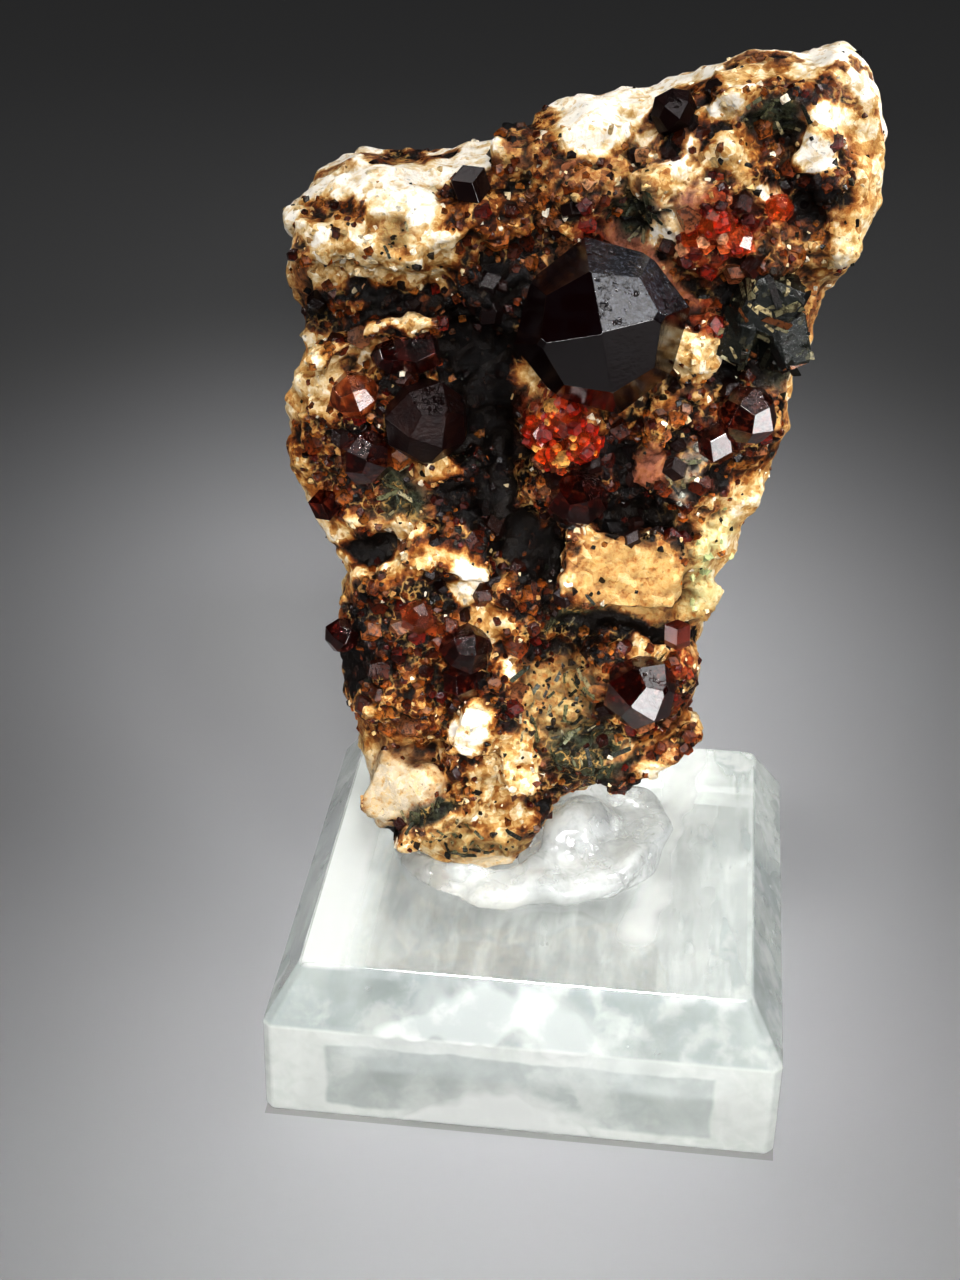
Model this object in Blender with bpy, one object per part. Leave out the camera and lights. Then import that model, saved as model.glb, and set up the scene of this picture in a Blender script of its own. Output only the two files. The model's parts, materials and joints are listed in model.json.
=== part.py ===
"""Garnet crystals in a piece of rock, glued to a clear bevelled display block.

Blender frame: metres, +Z up, the front faces -Y, and the origin is the centre of the block's
underside. Sizes below are millimetres. The rock and its crystals are modelled upright in the
specimen's own frame (x across, y into the rock, z up from its foot), and an empty at the foot
leans them back over the block.
"""
import itertools
import math
import random
from dataclasses import dataclass

import bmesh
import bpy
from mathutils import Euler, Matrix, Vector, noise
from mathutils.bvhtree import BVHTree

MM = 0.001
GAP = 0.3                       # clear space between pieces that touch

# --- driving dimensions, mm ---------------------------------------------------------------
BLOCK_SIDE = 38.1
BLOCK_HEIGHT = 12.7
BEVEL_INSET = 2.5               # the slope round the block's top, seen from above
BEVEL_DROP = 4.2                # and its height
BLOCK_CHAMFER = 0.6             # broken edges at the corners and the underside

FOOT = (-4.0, -1.0, BLOCK_HEIGHT)   # the specimen frame's origin, on top of the block
LEAN_BACK = 8.0                 # degrees

SKIN_VOXEL = 0.55               # grid that fuses the lumps into one rock
ROCK_TRIANGLES = 2150
GLUE_TRIANGLES = 560
TRUNCATED_FROM = 2.2            # garnets of a larger radius have their edges cut off

# The rock's outline at mid thickness (x, z), from the upper left corner, clockwise.
OUTLINE = (
    (-14.0, 52.8), (-11.4, 54.1), (-5.6, 54.1), (-2.0, 54.9), (0.7, 55.8), (2.8, 57.8),
    (7.7, 59.2), (10.9, 60.1), (12.4, 61.2), (18.6, 61.9), (21.0, 62.8), (23.2, 61.0),
    (24.7, 58.6), (24.6, 55.6), (24.2, 52.0), (22.9, 48.5), (21.0, 44.9), (20.1, 40.8),
    (19.4, 35.6), (17.8, 30.6), (16.0, 26.2), (15.0, 22.6), (14.4, 19.0), (14.3, 15.0),
    (13.4, 12.6), (10.7, 9.9), (7.8, 7.4), (5.0, 6.0), (3.8, 3.4), (2.4, 0.8), (0.2, -0.1),
    (-2.6, 0.0), (-5.2, 0.9), (-7.4, 1.6), (-9.1, 3.2), (-9.5, 6.4), (-10.2, 9.4),
    (-11.2, 12.6), (-12.2, 16.4), (-11.9, 20.4), (-11.4, 22.8), (-12.8, 25.6), (-14.4, 28.6),
    (-15.8, 31.2), (-15.9, 37.6), (-14.6, 40.0), (-15.1, 42.6), (-15.9, 46.8), (-15.2, 50.4),
)


@dataclass(frozen=True)
class Lump:
    """A rounded, uneven mass of the rock: its centre and its three half widths."""
    at: tuple
    half: tuple


@dataclass(frozen=True)
class Slab:
    """A block with flat sides: its centre, half widths and turn in degrees."""
    at: tuple
    half: tuple
    turn: tuple = (0.0, 0.0, 0.0)


@dataclass(frozen=True)
class Garnet:
    """A garnet crystal: its centre, its radius to the sharpest corners, and its turn."""
    at: tuple
    radius: float
    turn: tuple = (0.0, 0.0, 0.0)
    squash: tuple = (1.0, 1.0, 1.0)
    rhombic: bool = False           # twelve rhombs instead of twenty-four kites


ROCK_LUMPS = {
    "upper_left_ledge": Lump((-8.2, -4.6, 50.2), (7.6, 5.2, 3.7)),
    "ledge_right_end": Lump((-1.8, -3.6, 51.6), (4.2, 4.4, 3.4)),
    "under_ledge": Lump((-9.0, -2.4, 44.6), (6.4, 4.0, 3.4)),
    "left_shoulder": Lump((-13.2, -2.2, 36.2), (2.6, 4.6, 5.6)),
    "left_garnet_bed": Lump((-8.2, -3.0, 37.4), (6.4, 4.4, 6.2)),
    "left_lower_bed": Lump((-8.6, -2.4, 31.0), (5.4, 4.4, 4.6)),
    "plate_bed": Lump((-3.6, -2.8, 29.0), (5.0, 4.4, 3.6)),
    "crust_beside_main": Lump((-0.6, -3.2, 46.2), (4.2, 4.6, 3.8)),
    "main_garnet_bed": Lump((6.4, -2.6, 45.0), (7.4, 4.6, 7.0)),
    "above_main": Lump((4.2, -3.4, 53.0), (5.4, 4.6, 3.8)),
    "white_crown": Lump((5.6, -0.6, 56.8), (4.6, 4.8, 2.6)),
    "upper_right": Lump((13.4, -2.8, 53.6), (6.6, 5.0, 6.0)),
    "right_crown": Lump((16.8, -0.6, 58.8), (6.6, 5.4, 3.6)),
    "right_rim": Lump((21.7, -0.6, 53.4), (2.9, 5.8, 6.8)),
    "right_rim_low": Lump((18.9, -0.2, 45.4), (2.3, 5.2, 6.0)),
    "brown_shoulder": Lump((17.4, -3.2, 50.0), (4.0, 4.4, 3.4)),
    "cream_wedge": Lump((13.0, -4.6, 43.2), (1.7, 3.8, 3.0)),
    "dark_crystal_bed": Lump((17.0, -1.8, 45.0), (3.6, 4.2, 4.4)),
    "glowing_bed": Lump((4.6, -3.4, 36.6), (4.2, 4.4, 4.2)),
    "centre_right_bed": Lump((11.0, -3.4, 37.4), (4.0, 4.2, 4.0)),
    "right_garnet_bed": Lump((15.8, -2.8, 38.0), (4.0, 4.4, 4.6)),
    "silver_bed": Lump((12.8, -2.8, 33.6), (5.0, 4.2, 3.6)),
    "centre_lower_bed": Lump((5.0, -2.8, 32.0), (5.2, 4.4, 3.4)),
    "green_flank": Lump((14.2, -1.2, 28.0), (2.8, 5.0, 4.6)),
    "left_crust": Lump((-6.6, -2.6, 21.6), (5.8, 4.8, 4.8)),
    "left_crust_low": Lump((-7.0, -2.6, 14.8), (4.8, 4.4, 5.4)),
    "centre_crust": Lump((1.2, -2.6, 23.2), (4.8, 4.2, 4.2)),
    "centre_low": Lump((1.0, -2.8, 15.0), (5.2, 4.4, 5.6)),
    "lower_right_bed": Lump((10.0, -3.0, 17.8), (5.2, 4.8, 5.2)),
    "dark_green_low": Lump((7.2, -2.4, 11.6), (5.2, 4.2, 3.4)),
    "white_low": Lump((-1.0, -3.0, 11.6), (3.6, 4.2, 4.4)),
    "foot": Lump((-3.4, -2.2, 6.4), (5.6, 4.0, 4.8)),
    "tip": Lump((-0.6, -2.4, 3.4), (4.4, 3.2, 3.3)),
    "back_left": Lump((-6.0, 3.8, 46.0), (8.6, 4.6, 6.6)),
    "back_upper": Lump((6.0, 4.6, 50.0), (9.6, 4.8, 7.6)),
    "back_right": Lump((16.2, 3.8, 52.6), (7.4, 4.6, 7.6)),
    "back_middle": Lump((2.4, 4.8, 36.0), (13.6, 5.0, 9.4)),
    "back_low": Lump((2.0, 3.4, 20.0), (10.4, 4.4, 9.6)),
    "back_foot": Lump((-2.0, 1.6, 9.4), (6.2, 4.0, 5.6)),
}

ROCK_SLABS = {
    "beige_block": Slab((9.2, -5.4, 27.2), (4.3, 3.0, 2.7), (-4.0, 3.0, 2.0)),
    "cream_plate": Slab((-3.6, -6.0, 27.4), (3.2, 1.8, 1.4), (-16.0, 10.0, 6.0)),
    "white_side_block": Slab((-12.4, -6.6, 49.6), (1.5, 2.4, 1.4), (8.0, 4.0, -14.0)),
    "white_crown_block": Slab((4.2, -3.2, 55.9), (2.6, 2.6, 1.7), (16.0, -14.0, 8.0)),
    "crown_facet": Slab((14.6, -3.6, 59.6), (1.7, 2.0, 1.3), (10.0, 0.0, 4.0)),
    "white_triangle": Slab((20.2, -4.0, 56.6), (1.5, 1.8, 1.7), (12.0, 24.0, 10.0)),
    "cream_crystal": Slab((10.0, -6.2, 54.0), (1.6, 1.5, 1.2), (6.0, -20.0, 12.0)),
    "ledge_block": Slab((0.6, -4.4, 55.2), (1.5, 2.2, 1.5), (6.0, -6.0, -6.0)),
    "thin_ridge_left": Slab((-11.4, -6.4, 42.2), (2.6, 1.8, 0.5), (0.0, -30.0, 16.0)),
    "thin_ridge_right": Slab((-6.8, -6.8, 43.9), (2.7, 1.8, 0.5), (0.0, -9.0, -4.0)),
    "yellow_plate": Slab((-3.2, -5.8, 33.4), (2.1, 1.4, 0.7), (-10.0, -26.0, 8.0)),
    "low_white_block": Slab((-0.9, -6.4, 13.6), (1.5, 1.4, 2.0), (4.0, 10.0, -8.0)),
    "low_pink_block": Slab((2.2, -6.0, 11.0), (1.5, 1.4, 2.2), (0.0, -8.0, 12.0)),
    "foot_facet": Slab((-6.2, -4.6, 7.2), (2.9, 2.0, 2.6), (-8.0, 14.0, -18.0)),
    "foot_bar": Slab((-5.0, -5.6, 4.6), (2.5, 1.3, 0.8), (0.0, -24.0, 0.0)),
    "rim_edge_low": Slab((12.2, -3.4, 11.4), (3.6, 1.8, 0.7), (0.0, -38.0, 0.0)),
    "side_crystal": Slab((14.6, -3.2, 23.8), (0.9, 1.1, 1.3), (0.0, 18.0, 30.0)),
    "tan_flake": Slab((11.4, -6.6, 22.6), (1.2, 0.9, 1.0), (10.0, 30.0, 0.0)),
}

# Hollows cut into the front: a deep one beside the main garnet, and shadowed notches.
HOLLOWS = {
    "deep_cavity": Lump((0.0, -6.6, 34.6), (2.0, 4.0, 4.6)),
    "left_notch": Lump((-11.0, -7.2, 26.4), (2.6, 3.6, 1.3)),
    "under_block": Lump((8.4, -8.6, 23.2), (4.8, 2.6, 0.9)),
    "under_ledge": Lump((-8.0, -9.0, 45.8), (6.6, 2.8, 1.0)),
    "crown_pit": Lump((10.6, -6.6, 56.8), (1.5, 1.6, 1.0)),
    "rim_pit": Lump((20.6, -7.0, 50.4), (1.4, 1.8, 1.1)),
}

MAIN_AT = (6.55, -7.5, 44.6)
MAIN_RADIUS = 6.05
MAIN_TURN = (-9.0, -14.0, 5.0)

# Crystals large enough to be pieces of their own. Those that overlap are one solid.
GARNETS = {
    "garnet_main": (Garnet(MAIN_AT, MAIN_RADIUS, MAIN_TURN),),
    "garnet_left_dark": (Garnet((-5.3, -6.9, 37.0), 3.3, (20.0, 10.0, 34.0)),),
    "garnet_left_upper": (
        Garnet((-6.0, -7.0, 42.0), 1.9, (12.0, 30.0, 8.0), rhombic=True),
        Garnet((-8.0, -6.7, 41.3), 1.4, (40.0, 8.0, 20.0)),
    ),
    "garnet_left_bright": (Garnet((-10.4, -6.9, 38.5), 1.9, (24.0, -20.0, 14.0)),),
    "garnet_left_lower": (Garnet((-9.5, -6.5, 34.0), 2.2, (8.0, 20.0, 52.0)),),
    "garnet_left_edge": (Garnet((-12.6, -4.8, 29.6), 1.5, (30.0, 12.0, 24.0), rhombic=True),),
    "garnet_glowing_cluster": (
        Garnet((4.4, -7.2, 38.0), 1.7, (16.0, 24.0, 40.0)),
        Garnet((2.6, -6.8, 36.8), 1.4, (44.0, 2.0, 18.0), rhombic=True),
        Garnet((5.6, -7.0, 36.0), 1.5, (10.0, 36.0, 4.0)),
        Garnet((3.8, -7.1, 35.2), 1.3, (28.0, 14.0, 60.0), rhombic=True),
    ),
    "garnet_centre_lower": (Garnet((5.6, -6.7, 32.0), 2.3, (34.0, -12.0, 22.0)),),
    "garnet_right": (
        Garnet((16.8, -6.6, 38.8), 2.3, (12.0, 18.0, -30.0)),
        Garnet((15.0, -6.3, 36.6), 1.7, (42.0, 24.0, 10.0), rhombic=True),
    ),
    "garnet_lower_right": (Garnet((10.8, -7.0, 17.8), 3.0, (26.0, 22.0, 38.0)),),
    "garnet_right_small": (Garnet((13.2, -5.8, 21.9), 1.3, (18.0, 40.0, 12.0), rhombic=True),),
    "garnet_lower_left": (
        Garnet((-2.0, -6.6, 19.9), 2.1, (38.0, 6.0, 26.0)),
        Garnet((-2.3, -6.5, 17.1), 1.6, (14.0, 32.0, 6.0), rhombic=True),
    ),
    "garnet_brown": (Garnet((-5.6, -7.0, 22.3), 1.4, (22.0, 8.0, 48.0)),),
    "garnet_lower_left_edge": (Garnet((-11.4, -4.4, 19.4), 1.5, (6.0, 28.0, 16.0)),),
    "garnet_top_left": (Garnet((-2.8, -6.6, 53.4), 1.7, (36.0, 16.0, 44.0), rhombic=True),),
    "garnet_top": (Garnet((10.4, -4.6, 58.6), 1.7, (8.0, 34.0, 20.0)),),
    "garnet_upper_right": (
        Garnet((13.6, -7.0, 51.8), 1.6, (30.0, 20.0, 2.0)),
        Garnet((12.2, -6.7, 50.4), 1.2, (4.0, 42.0, 30.0), rhombic=True),
        Garnet((15.2, -6.8, 50.8), 1.3, (24.0, 10.0, 56.0)),
    ),
    "garnet_rim": (Garnet((17.8, -6.6, 53.0), 1.1, (40.0, 26.0, 14.0)),),
}
DARK_CRYSTALS = (
    Slab((17.6, -5.6, 46.6), (1.9, 1.5, 2.0), (18.0, 22.0, 20.0)),
    Slab((18.9, -4.9, 43.8), (1.4, 1.4, 1.9), (-8.0, -12.0, 34.0)),
    Slab((15.9, -5.6, 44.0), (1.2, 1.2, 1.7), (10.0, 14.0, -16.0)),
)

DARK_EDGE_CUT = 0.25            # share of a crystal's thickness taken off its edges

# Small garnets fused to the rock: areas of crust (x, z, half width, half height, how many).
CRUST_AREAS = (
    (-8.0, 44.6, 6.2, 1.6, 7), (-1.2, 48.2, 2.6, 2.6, 5), (-9.6, 30.8, 4.4, 2.2, 6),
    (-7.2, 20.6, 4.4, 4.6, 12), (-7.6, 13.6, 3.0, 3.4, 6), (1.6, 23.4, 2.8, 3.0, 5),
    (3.2, 51.0, 3.2, 2.2, 5), (15.4, 55.4, 4.0, 2.4, 7), (10.8, 37.6, 2.4, 3.0, 5),
    (11.2, 31.6, 4.4, 1.4, 4), (3.4, 14.4, 2.4, 3.6, 4), (20.2, 52.4, 1.8, 3.4, 4),
)
CRUST_RADIUS = (0.8, 1.4)
CRUST_SEED = 7

# The glue on the block (x, y, z in the block's own frame).
GLUE_LUMPS = {
    "puddle": Lump((-3.0, -1.6, 12.9), (9.6, 7.2, 1.7)),
    "collar": Lump((-3.6, -2.6, 13.6), (7.2, 5.2, 2.5)),
    "swell": Lump((4.0, 0.2, 13.4), (5.8, 6.8, 3.3)),
    "back_run": Lump((2.0, 3.8, 13.0), (7.0, 5.2, 2.4)),
    "riser": Lump((2.6, -0.6, 15.4), (3.2, 3.4, 3.4)),
}
BEAD_ROUTE = ((-4.0, -7.6, 13.8), (0.0, -7.4, 14.2), (4.0, -6.2, 14.5), (7.2, -3.8, 14.7),
              (8.9, -0.2, 14.8), (8.4, 3.4, 14.9), (5.6, 5.2, 15.4), (3.0, 4.0, 16.4))
BEAD_RADIUS = 1.35


# --- small helpers ------------------------------------------------------------------------
def turn_matrix(degrees):
    """A rotation from x, y, z angles in degrees."""
    return Euler([math.radians(angle) for angle in degrees]).to_matrix().to_4x4()


def material(name, colour, roughness, metallic=0.0):
    """A Principled material with the piece's own values."""
    made = bpy.data.materials.new(name)
    made.use_nodes = True
    shader = made.node_tree.nodes["Principled BSDF"]
    shader.inputs["Base Color"].default_value = (*colour, 1.0)
    shader.inputs["Roughness"].default_value = roughness
    shader.inputs["Metallic"].default_value = metallic
    return made


def object_from(bm, name, finish=None, parent=None):
    """An object from a bmesh whose sizes are millimetres."""
    bmesh.ops.scale(bm, vec=(MM, MM, MM), verts=bm.verts)
    mesh = bpy.data.meshes.new(name)
    bm.to_mesh(mesh)
    bm.free()
    if finish:
        mesh.materials.append(finish)
    made = bpy.data.objects.new(name, mesh)
    made.parent = parent
    bpy.context.scene.collection.objects.link(made)
    return made


def evaluated(source):
    """A bmesh of an object with its modifiers carried out, in millimetres."""
    bpy.context.view_layer.update()
    graph = bpy.context.evaluated_depsgraph_get()
    mesh = source.evaluated_get(graph).to_mesh()
    bm = bmesh.new()
    bm.from_mesh(mesh)
    bmesh.ops.scale(bm, vec=(1 / MM, 1 / MM, 1 / MM), verts=bm.verts)
    return bm


def keep_largest_body(bm):
    """Delete every loose scrap that isn't joined to the main body."""
    left = set(bm.verts)
    bodies = []
    while left:
        stack = [left.pop()]
        body = set(stack)
        while stack:
            for edge in stack.pop().link_edges:
                for vert in edge.verts:
                    if vert in left:
                        left.remove(vert)
                        body.add(vert)
                        stack.append(vert)
        bodies.append(body)
    bodies.sort(key=len, reverse=True)
    scraps = [vert for body in bodies[1:] for vert in body]
    bmesh.ops.delete(bm, geom=scraps, context="VERTS")


def add_lump(bm, lump, rng, unevenness=0.10):
    """Add an uneven ball with the lump's half widths."""
    ball = bmesh.ops.create_icosphere(bm, subdivisions=2, radius=1.0)["verts"]
    for vert in ball:
        vert.co *= 1.0 + rng.uniform(-unevenness, unevenness)
    bmesh.ops.scale(bm, vec=lump.half, verts=ball)
    bmesh.ops.translate(bm, vec=lump.at, verts=ball)


def add_slab(bm, slab, rng, skew=0.12):
    """Add a box whose corners stray a little, so that no two faces are quite parallel."""
    corners = bmesh.ops.create_cube(bm, size=2.0)["verts"]
    for vert in corners:
        vert.co += Vector([rng.uniform(-skew, skew) for _ in range(3)])
    bmesh.ops.scale(bm, vec=slab.half, verts=corners)
    bmesh.ops.transform(bm, matrix=Matrix.Translation(slab.at) @ turn_matrix(slab.turn),
                        verts=corners)


def garnet_faces(garnet, rng, truncated, stray=0.02):
    """Face normals of a garnet with each face's distance from the centre, for radius 1."""
    kites = {tuple(s * v for s, v in zip(signs, order))
             for order in set(itertools.permutations((2, 1, 1)))
             for signs in itertools.product((1, -1), repeat=3)}
    rhombs = {tuple(s * v for s, v in zip(signs, order))
              for order in set(itertools.permutations((1, 1, 0)))
              for signs in itertools.product((1, -1), repeat=3)}
    shape = [(sorted(rhombs), 0.71)] if garnet.rhombic else [(sorted(kites), 0.8165)]
    if truncated and garnet.radius > TRUNCATED_FROM:
        shape.append((sorted(rhombs), 0.92))
    for normals, distance in shape:
        for normal in normals:
            yield Vector(normal).normalized(), distance * (1.0 + rng.uniform(-stray, stray))


def crystal_bmesh(garnet, grow=0.0, seed=1):
    """A garnet cut plane by plane from a cube; grow moves every face outwards."""
    rng = random.Random(seed)
    bm = bmesh.new()
    bmesh.ops.create_cube(bm, size=2.6 * garnet.radius + 4.0 * grow)
    for normal, distance in garnet_faces(garnet, rng, truncated=not grow):
        cut = bmesh.ops.bisect_plane(
            bm, geom=bm.verts[:] + bm.edges[:] + bm.faces[:], dist=1e-5,
            plane_co=normal * (distance * garnet.radius + grow), plane_no=normal,
            clear_outer=True)
        rim = [item for item in cut["geom_cut"] if isinstance(item, bmesh.types.BMEdge)]
        if rim:
            bmesh.ops.holes_fill(bm, edges=rim, sides=0)
    bmesh.ops.remove_doubles(bm, verts=bm.verts, dist=0.02)
    bmesh.ops.dissolve_degenerate(bm, edges=bm.edges, dist=0.02)
    bmesh.ops.scale(bm, vec=garnet.squash, verts=bm.verts)
    bmesh.ops.transform(bm, matrix=Matrix.Translation(garnet.at) @ turn_matrix(garnet.turn),
                        verts=bm.verts)
    bmesh.ops.recalc_face_normals(bm, faces=bm.faces)
    return bm


def add_modifier(target, kind, **settings):
    """Add a modifier and set its values."""
    made = target.modifiers.new(kind.title(), kind)
    for name, value in settings.items():
        setattr(made, name, value)
    return made


def helpers_collection(name):
    """A collection for solids that only take part in a Boolean."""
    made = bpy.data.collections.new(name)
    bpy.context.scene.collection.children.link(made)
    return made


def as_helper(target, collection):
    """Make an object a cutter that is drawn as wire and left out of the model."""
    bpy.context.scene.collection.objects.unlink(target)
    collection.objects.link(target)
    target.hide_render = True
    target.display_type = "WIRE"
    return target


# --- the display block --------------------------------------------------------------------
def build_block(finish):
    """The clear block: a square with a slope round its top and broken edges below."""
    half = BLOCK_SIDE / 2
    shoulder = BLOCK_HEIGHT - BEVEL_DROP
    bm = bmesh.new()
    bmesh.ops.create_cube(bm, size=1.0)
    bmesh.ops.scale(bm, vec=(BLOCK_SIDE, BLOCK_SIDE, shoulder), verts=bm.verts)
    bmesh.ops.translate(bm, vec=(0, 0, shoulder / 2), verts=bm.verts)
    outer = [edge for edge in bm.edges if min(vert.co.z for vert in edge.verts) < 1e-6]
    bmesh.ops.bevel(bm, geom=outer, offset=BLOCK_CHAMFER, affect="EDGES", segments=1,
                    profile=0.5, material=-1)
    top = max(bm.faces, key=lambda face: face.calc_center_median().z)
    raised = bmesh.ops.extrude_face_region(bm, geom=[top])["geom"]
    bmesh.ops.delete(bm, geom=[top], context="FACES_ONLY")
    verts = [item for item in raised if isinstance(item, bmesh.types.BMVert)]
    shrink = (half - BEVEL_INSET) / half
    bmesh.ops.scale(bm, vec=(shrink, shrink, 1.0), verts=verts)
    bmesh.ops.translate(bm, vec=(0, 0, BEVEL_DROP), verts=verts)
    bmesh.ops.recalc_face_normals(bm, faces=bm.faces)
    return object_from(bm, "display_base", finish)


# --- the rock -----------------------------------------------------------------------------
def rock_slab(bm):
    """The rock's full outline, drawn in towards its front and its back."""
    rim = [bm.verts.new((x, 0.0, z)) for x, z in OUTLINE]
    middle = bm.faces.new(rim)
    bmesh.ops.recalc_face_normals(bm, faces=[middle])
    for side, depth, rounding in ((-1.0, 3.2, 1.6), (1.0, 4.2, 2.6)):
        copy = bmesh.ops.duplicate(bm, geom=[middle])["geom"]
        face = next(item for item in copy if isinstance(item, bmesh.types.BMFace))
        raised = bmesh.ops.extrude_face_region(bm, geom=[face])["geom"]
        verts = [item for item in raised if isinstance(item, bmesh.types.BMVert)]
        bmesh.ops.translate(bm, vec=(0, side * depth, 0), verts=verts)
        cap = next(item for item in raised if isinstance(item, bmesh.types.BMFace))
        bmesh.ops.delete(bm, geom=[face], context="FACES_ONLY")
        bmesh.ops.inset_region(bm, faces=[cap], thickness=rounding, depth=0.0,
                               use_even_offset=False)
        bmesh.ops.translate(bm, vec=(0, side * rounding * 0.5, 0), verts=cap.verts)
    bmesh.ops.delete(bm, geom=[middle], context="FACES_ONLY")
    bmesh.ops.remove_doubles(bm, verts=bm.verts, dist=0.001)
    bmesh.ops.recalc_face_normals(bm, faces=bm.faces)


def roughen(bm):
    """Break the fused skin into ledges and pits, stronger in front than behind."""
    bm.normal_update()
    moves = []
    for vert in bm.verts:
        coarse = noise.noise(vert.co * 0.33 + Vector((3.1, 7.7, 1.3)))
        steps = noise.cell(vert.co * 0.62 + Vector((0.4, 2.6, 5.2)))
        fine = noise.fractal(vert.co * 0.9, 0.8, 2.1, 3)
        front = 1.0 if vert.normal.y < 0 else 0.7
        moves.append(front * (0.55 * coarse + 0.32 * (steps - 0.5) + 0.28 * fine))
    for vert, move in zip(bm.verts, moves):
        vert.co += vert.normal * move


def build_rock(finish, parent, sockets, crystals):
    """The matrix: outline, lumps and slabs fused, roughened, grown over and socketed."""
    rng = random.Random(11)
    bm = bmesh.new()
    rock_slab(bm)
    for lump in ROCK_LUMPS.values():
        add_lump(bm, lump, rng)
    raw = object_from(bm, "rock_raw")
    add_modifier(raw, "REMESH", mode="VOXEL", voxel_size=SKIN_VOXEL * MM)
    fused = evaluated(raw)
    roughen(fused)
    raw.modifiers.clear()
    fused = refined(raw, fused, SKIN_VOXEL)
    hollows = bmesh.new()
    for hollow in HOLLOWS.values():
        add_lump(hollows, hollow, rng)
    carved = carve(raw, fused, hollows)
    stand_on_block(carved)
    triangles = len(carved.faces)
    bpy.data.objects.remove(raw)
    rock = object_from(carved, "matrix_rock", finish, parent)
    add_modifier(rock, "DECIMATE", decimate_type="COLLAPSE", ratio=ROCK_TRIANGLES / triangles,
                 use_collapse_triangulate=True)
    crust = helpers_collection("crust_crystals")
    for index, (name, slab) in enumerate(ROCK_SLABS.items()):
        block = slab_bmesh(slab, seed=40 + index, skew=0.26)
        as_helper(object_from(block, name, parent=parent), crust)
    for index, garnet in enumerate(crust_garnets(rock, crystals)):
        small = object_from(crystal_bmesh(garnet, seed=100 + index), f"crust_{index:02d}",
                            parent=parent)
        as_helper(small, crust)
    add_modifier(rock, "BOOLEAN", operation="UNION", solver="EXACT",
                 operand_type="COLLECTION", collection=crust)
    add_modifier(rock, "BOOLEAN", operation="DIFFERENCE", solver="EXACT",
                 operand_type="COLLECTION", collection=sockets)
    whole = evaluated(rock)
    rock.modifiers.clear()
    keep_largest_body(whole)
    replace_mesh(rock, whole)
    return rock


def refined(holder, bm, voxel):
    """The bmesh fused again on a voxel grid, which takes out any crossing faces."""
    replace_mesh(holder, bm)
    add_modifier(holder, "REMESH", mode="VOXEL", voxel_size=voxel * MM)
    made = evaluated(holder)
    holder.modifiers.clear()
    return made


def carve(holder, bm, hollows):
    """The bmesh with the hollows cut out of it."""
    cutter = object_from(hollows, "hollow_cutter")
    replace_mesh(holder, bm)
    add_modifier(holder, "BOOLEAN", operation="DIFFERENCE", solver="EXACT", object=cutter)
    made = evaluated(holder)
    bpy.data.objects.remove(cutter)
    return made


def stand_on_block(bm):
    """Cut the foot off level with the block's top, with the gap between them."""
    lean = Matrix.Rotation(-math.radians(LEAN_BACK), 4, "X")
    down = lean.inverted() @ Vector((0, 0, -1))
    lowest = lean.inverted() @ Vector((0, 0, GAP + 0.1))
    cut = bmesh.ops.bisect_plane(bm, geom=bm.verts[:] + bm.edges[:] + bm.faces[:],
                                 plane_co=lowest, plane_no=down, clear_outer=True)
    rim = [item for item in cut["geom_cut"] if isinstance(item, bmesh.types.BMEdge)]
    bmesh.ops.holes_fill(bm, edges=rim, sides=0)
    bmesh.ops.triangulate(bm, faces=bm.faces)


def replace_mesh(holder, bm):
    """Put a bmesh in millimetres into an object's mesh."""
    bmesh.ops.scale(bm, vec=(MM, MM, MM), verts=bm.verts)
    bm.to_mesh(holder.data)
    bm.free()


def crust_garnets(rock, crystals):
    """Small garnets sown over the crust areas, clear of the large ones, sunk in the face."""
    rng = random.Random(CRUST_SEED)
    surface = evaluated(rock)
    tree = BVHTree.FromBMesh(surface)
    taken = [(Vector(garnet.at), garnet.radius) for garnet in crystals]
    taken += [(Vector(slab.at), max(slab.half) * 1.3) for slab in DARK_CRYSTALS]
    for x, z, half_width, half_height, count in CRUST_AREAS:
        for _ in range(count):
            radius = rng.uniform(*CRUST_RADIUS)
            spot = (x + rng.uniform(-half_width, half_width), z + rng.uniform(-half_height, half_height))
            turn = tuple(rng.uniform(0, 90) for _ in range(3))
            hit, normal, _, _ = tree.ray_cast(Vector((spot[0], -30.0, spot[1])), Vector((0, 1, 0)))
            if hit is None:
                continue
            centre = hit - normal * radius * 0.15
            if any((centre - other).length < radius + reach + 0.7 for other, reach in taken):
                continue
            yield Garnet(tuple(centre), radius, turn, rhombic=rng.random() < 0.6)
    surface.free()


# --- the crystals -------------------------------------------------------------------------
def joined(name, parts, finish, parent):
    """One object from overlapping closed shapes, united by Booleans."""
    body = object_from(parts[0], name, finish, parent)
    if len(parts) == 1:
        return body
    extra = helpers_collection(f"{name}_parts")
    for index, bm in enumerate(parts[1:]):
        as_helper(object_from(bm, f"{name}_part_{index}", parent=parent), extra)
    add_modifier(body, "BOOLEAN", operation="UNION", solver="EXACT",
                 operand_type="COLLECTION", collection=extra)
    return body


def slab_bmesh(slab, seed, grow=0.0, skew=0.06, cut_edges=0.0):
    """A slab with flat sides as a bmesh of its own; cut_edges is a share of its thickness."""
    bm = bmesh.new()
    half = tuple(value + grow for value in slab.half)
    add_slab(bm, Slab(slab.at, half, slab.turn), random.Random(seed), skew)
    if cut_edges:
        bmesh.ops.bevel(bm, geom=bm.edges, offset=min(half) * cut_edges, affect="EDGES",
                        segments=1, profile=0.5, material=-1)
    bmesh.ops.recalc_face_normals(bm, faces=bm.faces)
    return bm


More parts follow.
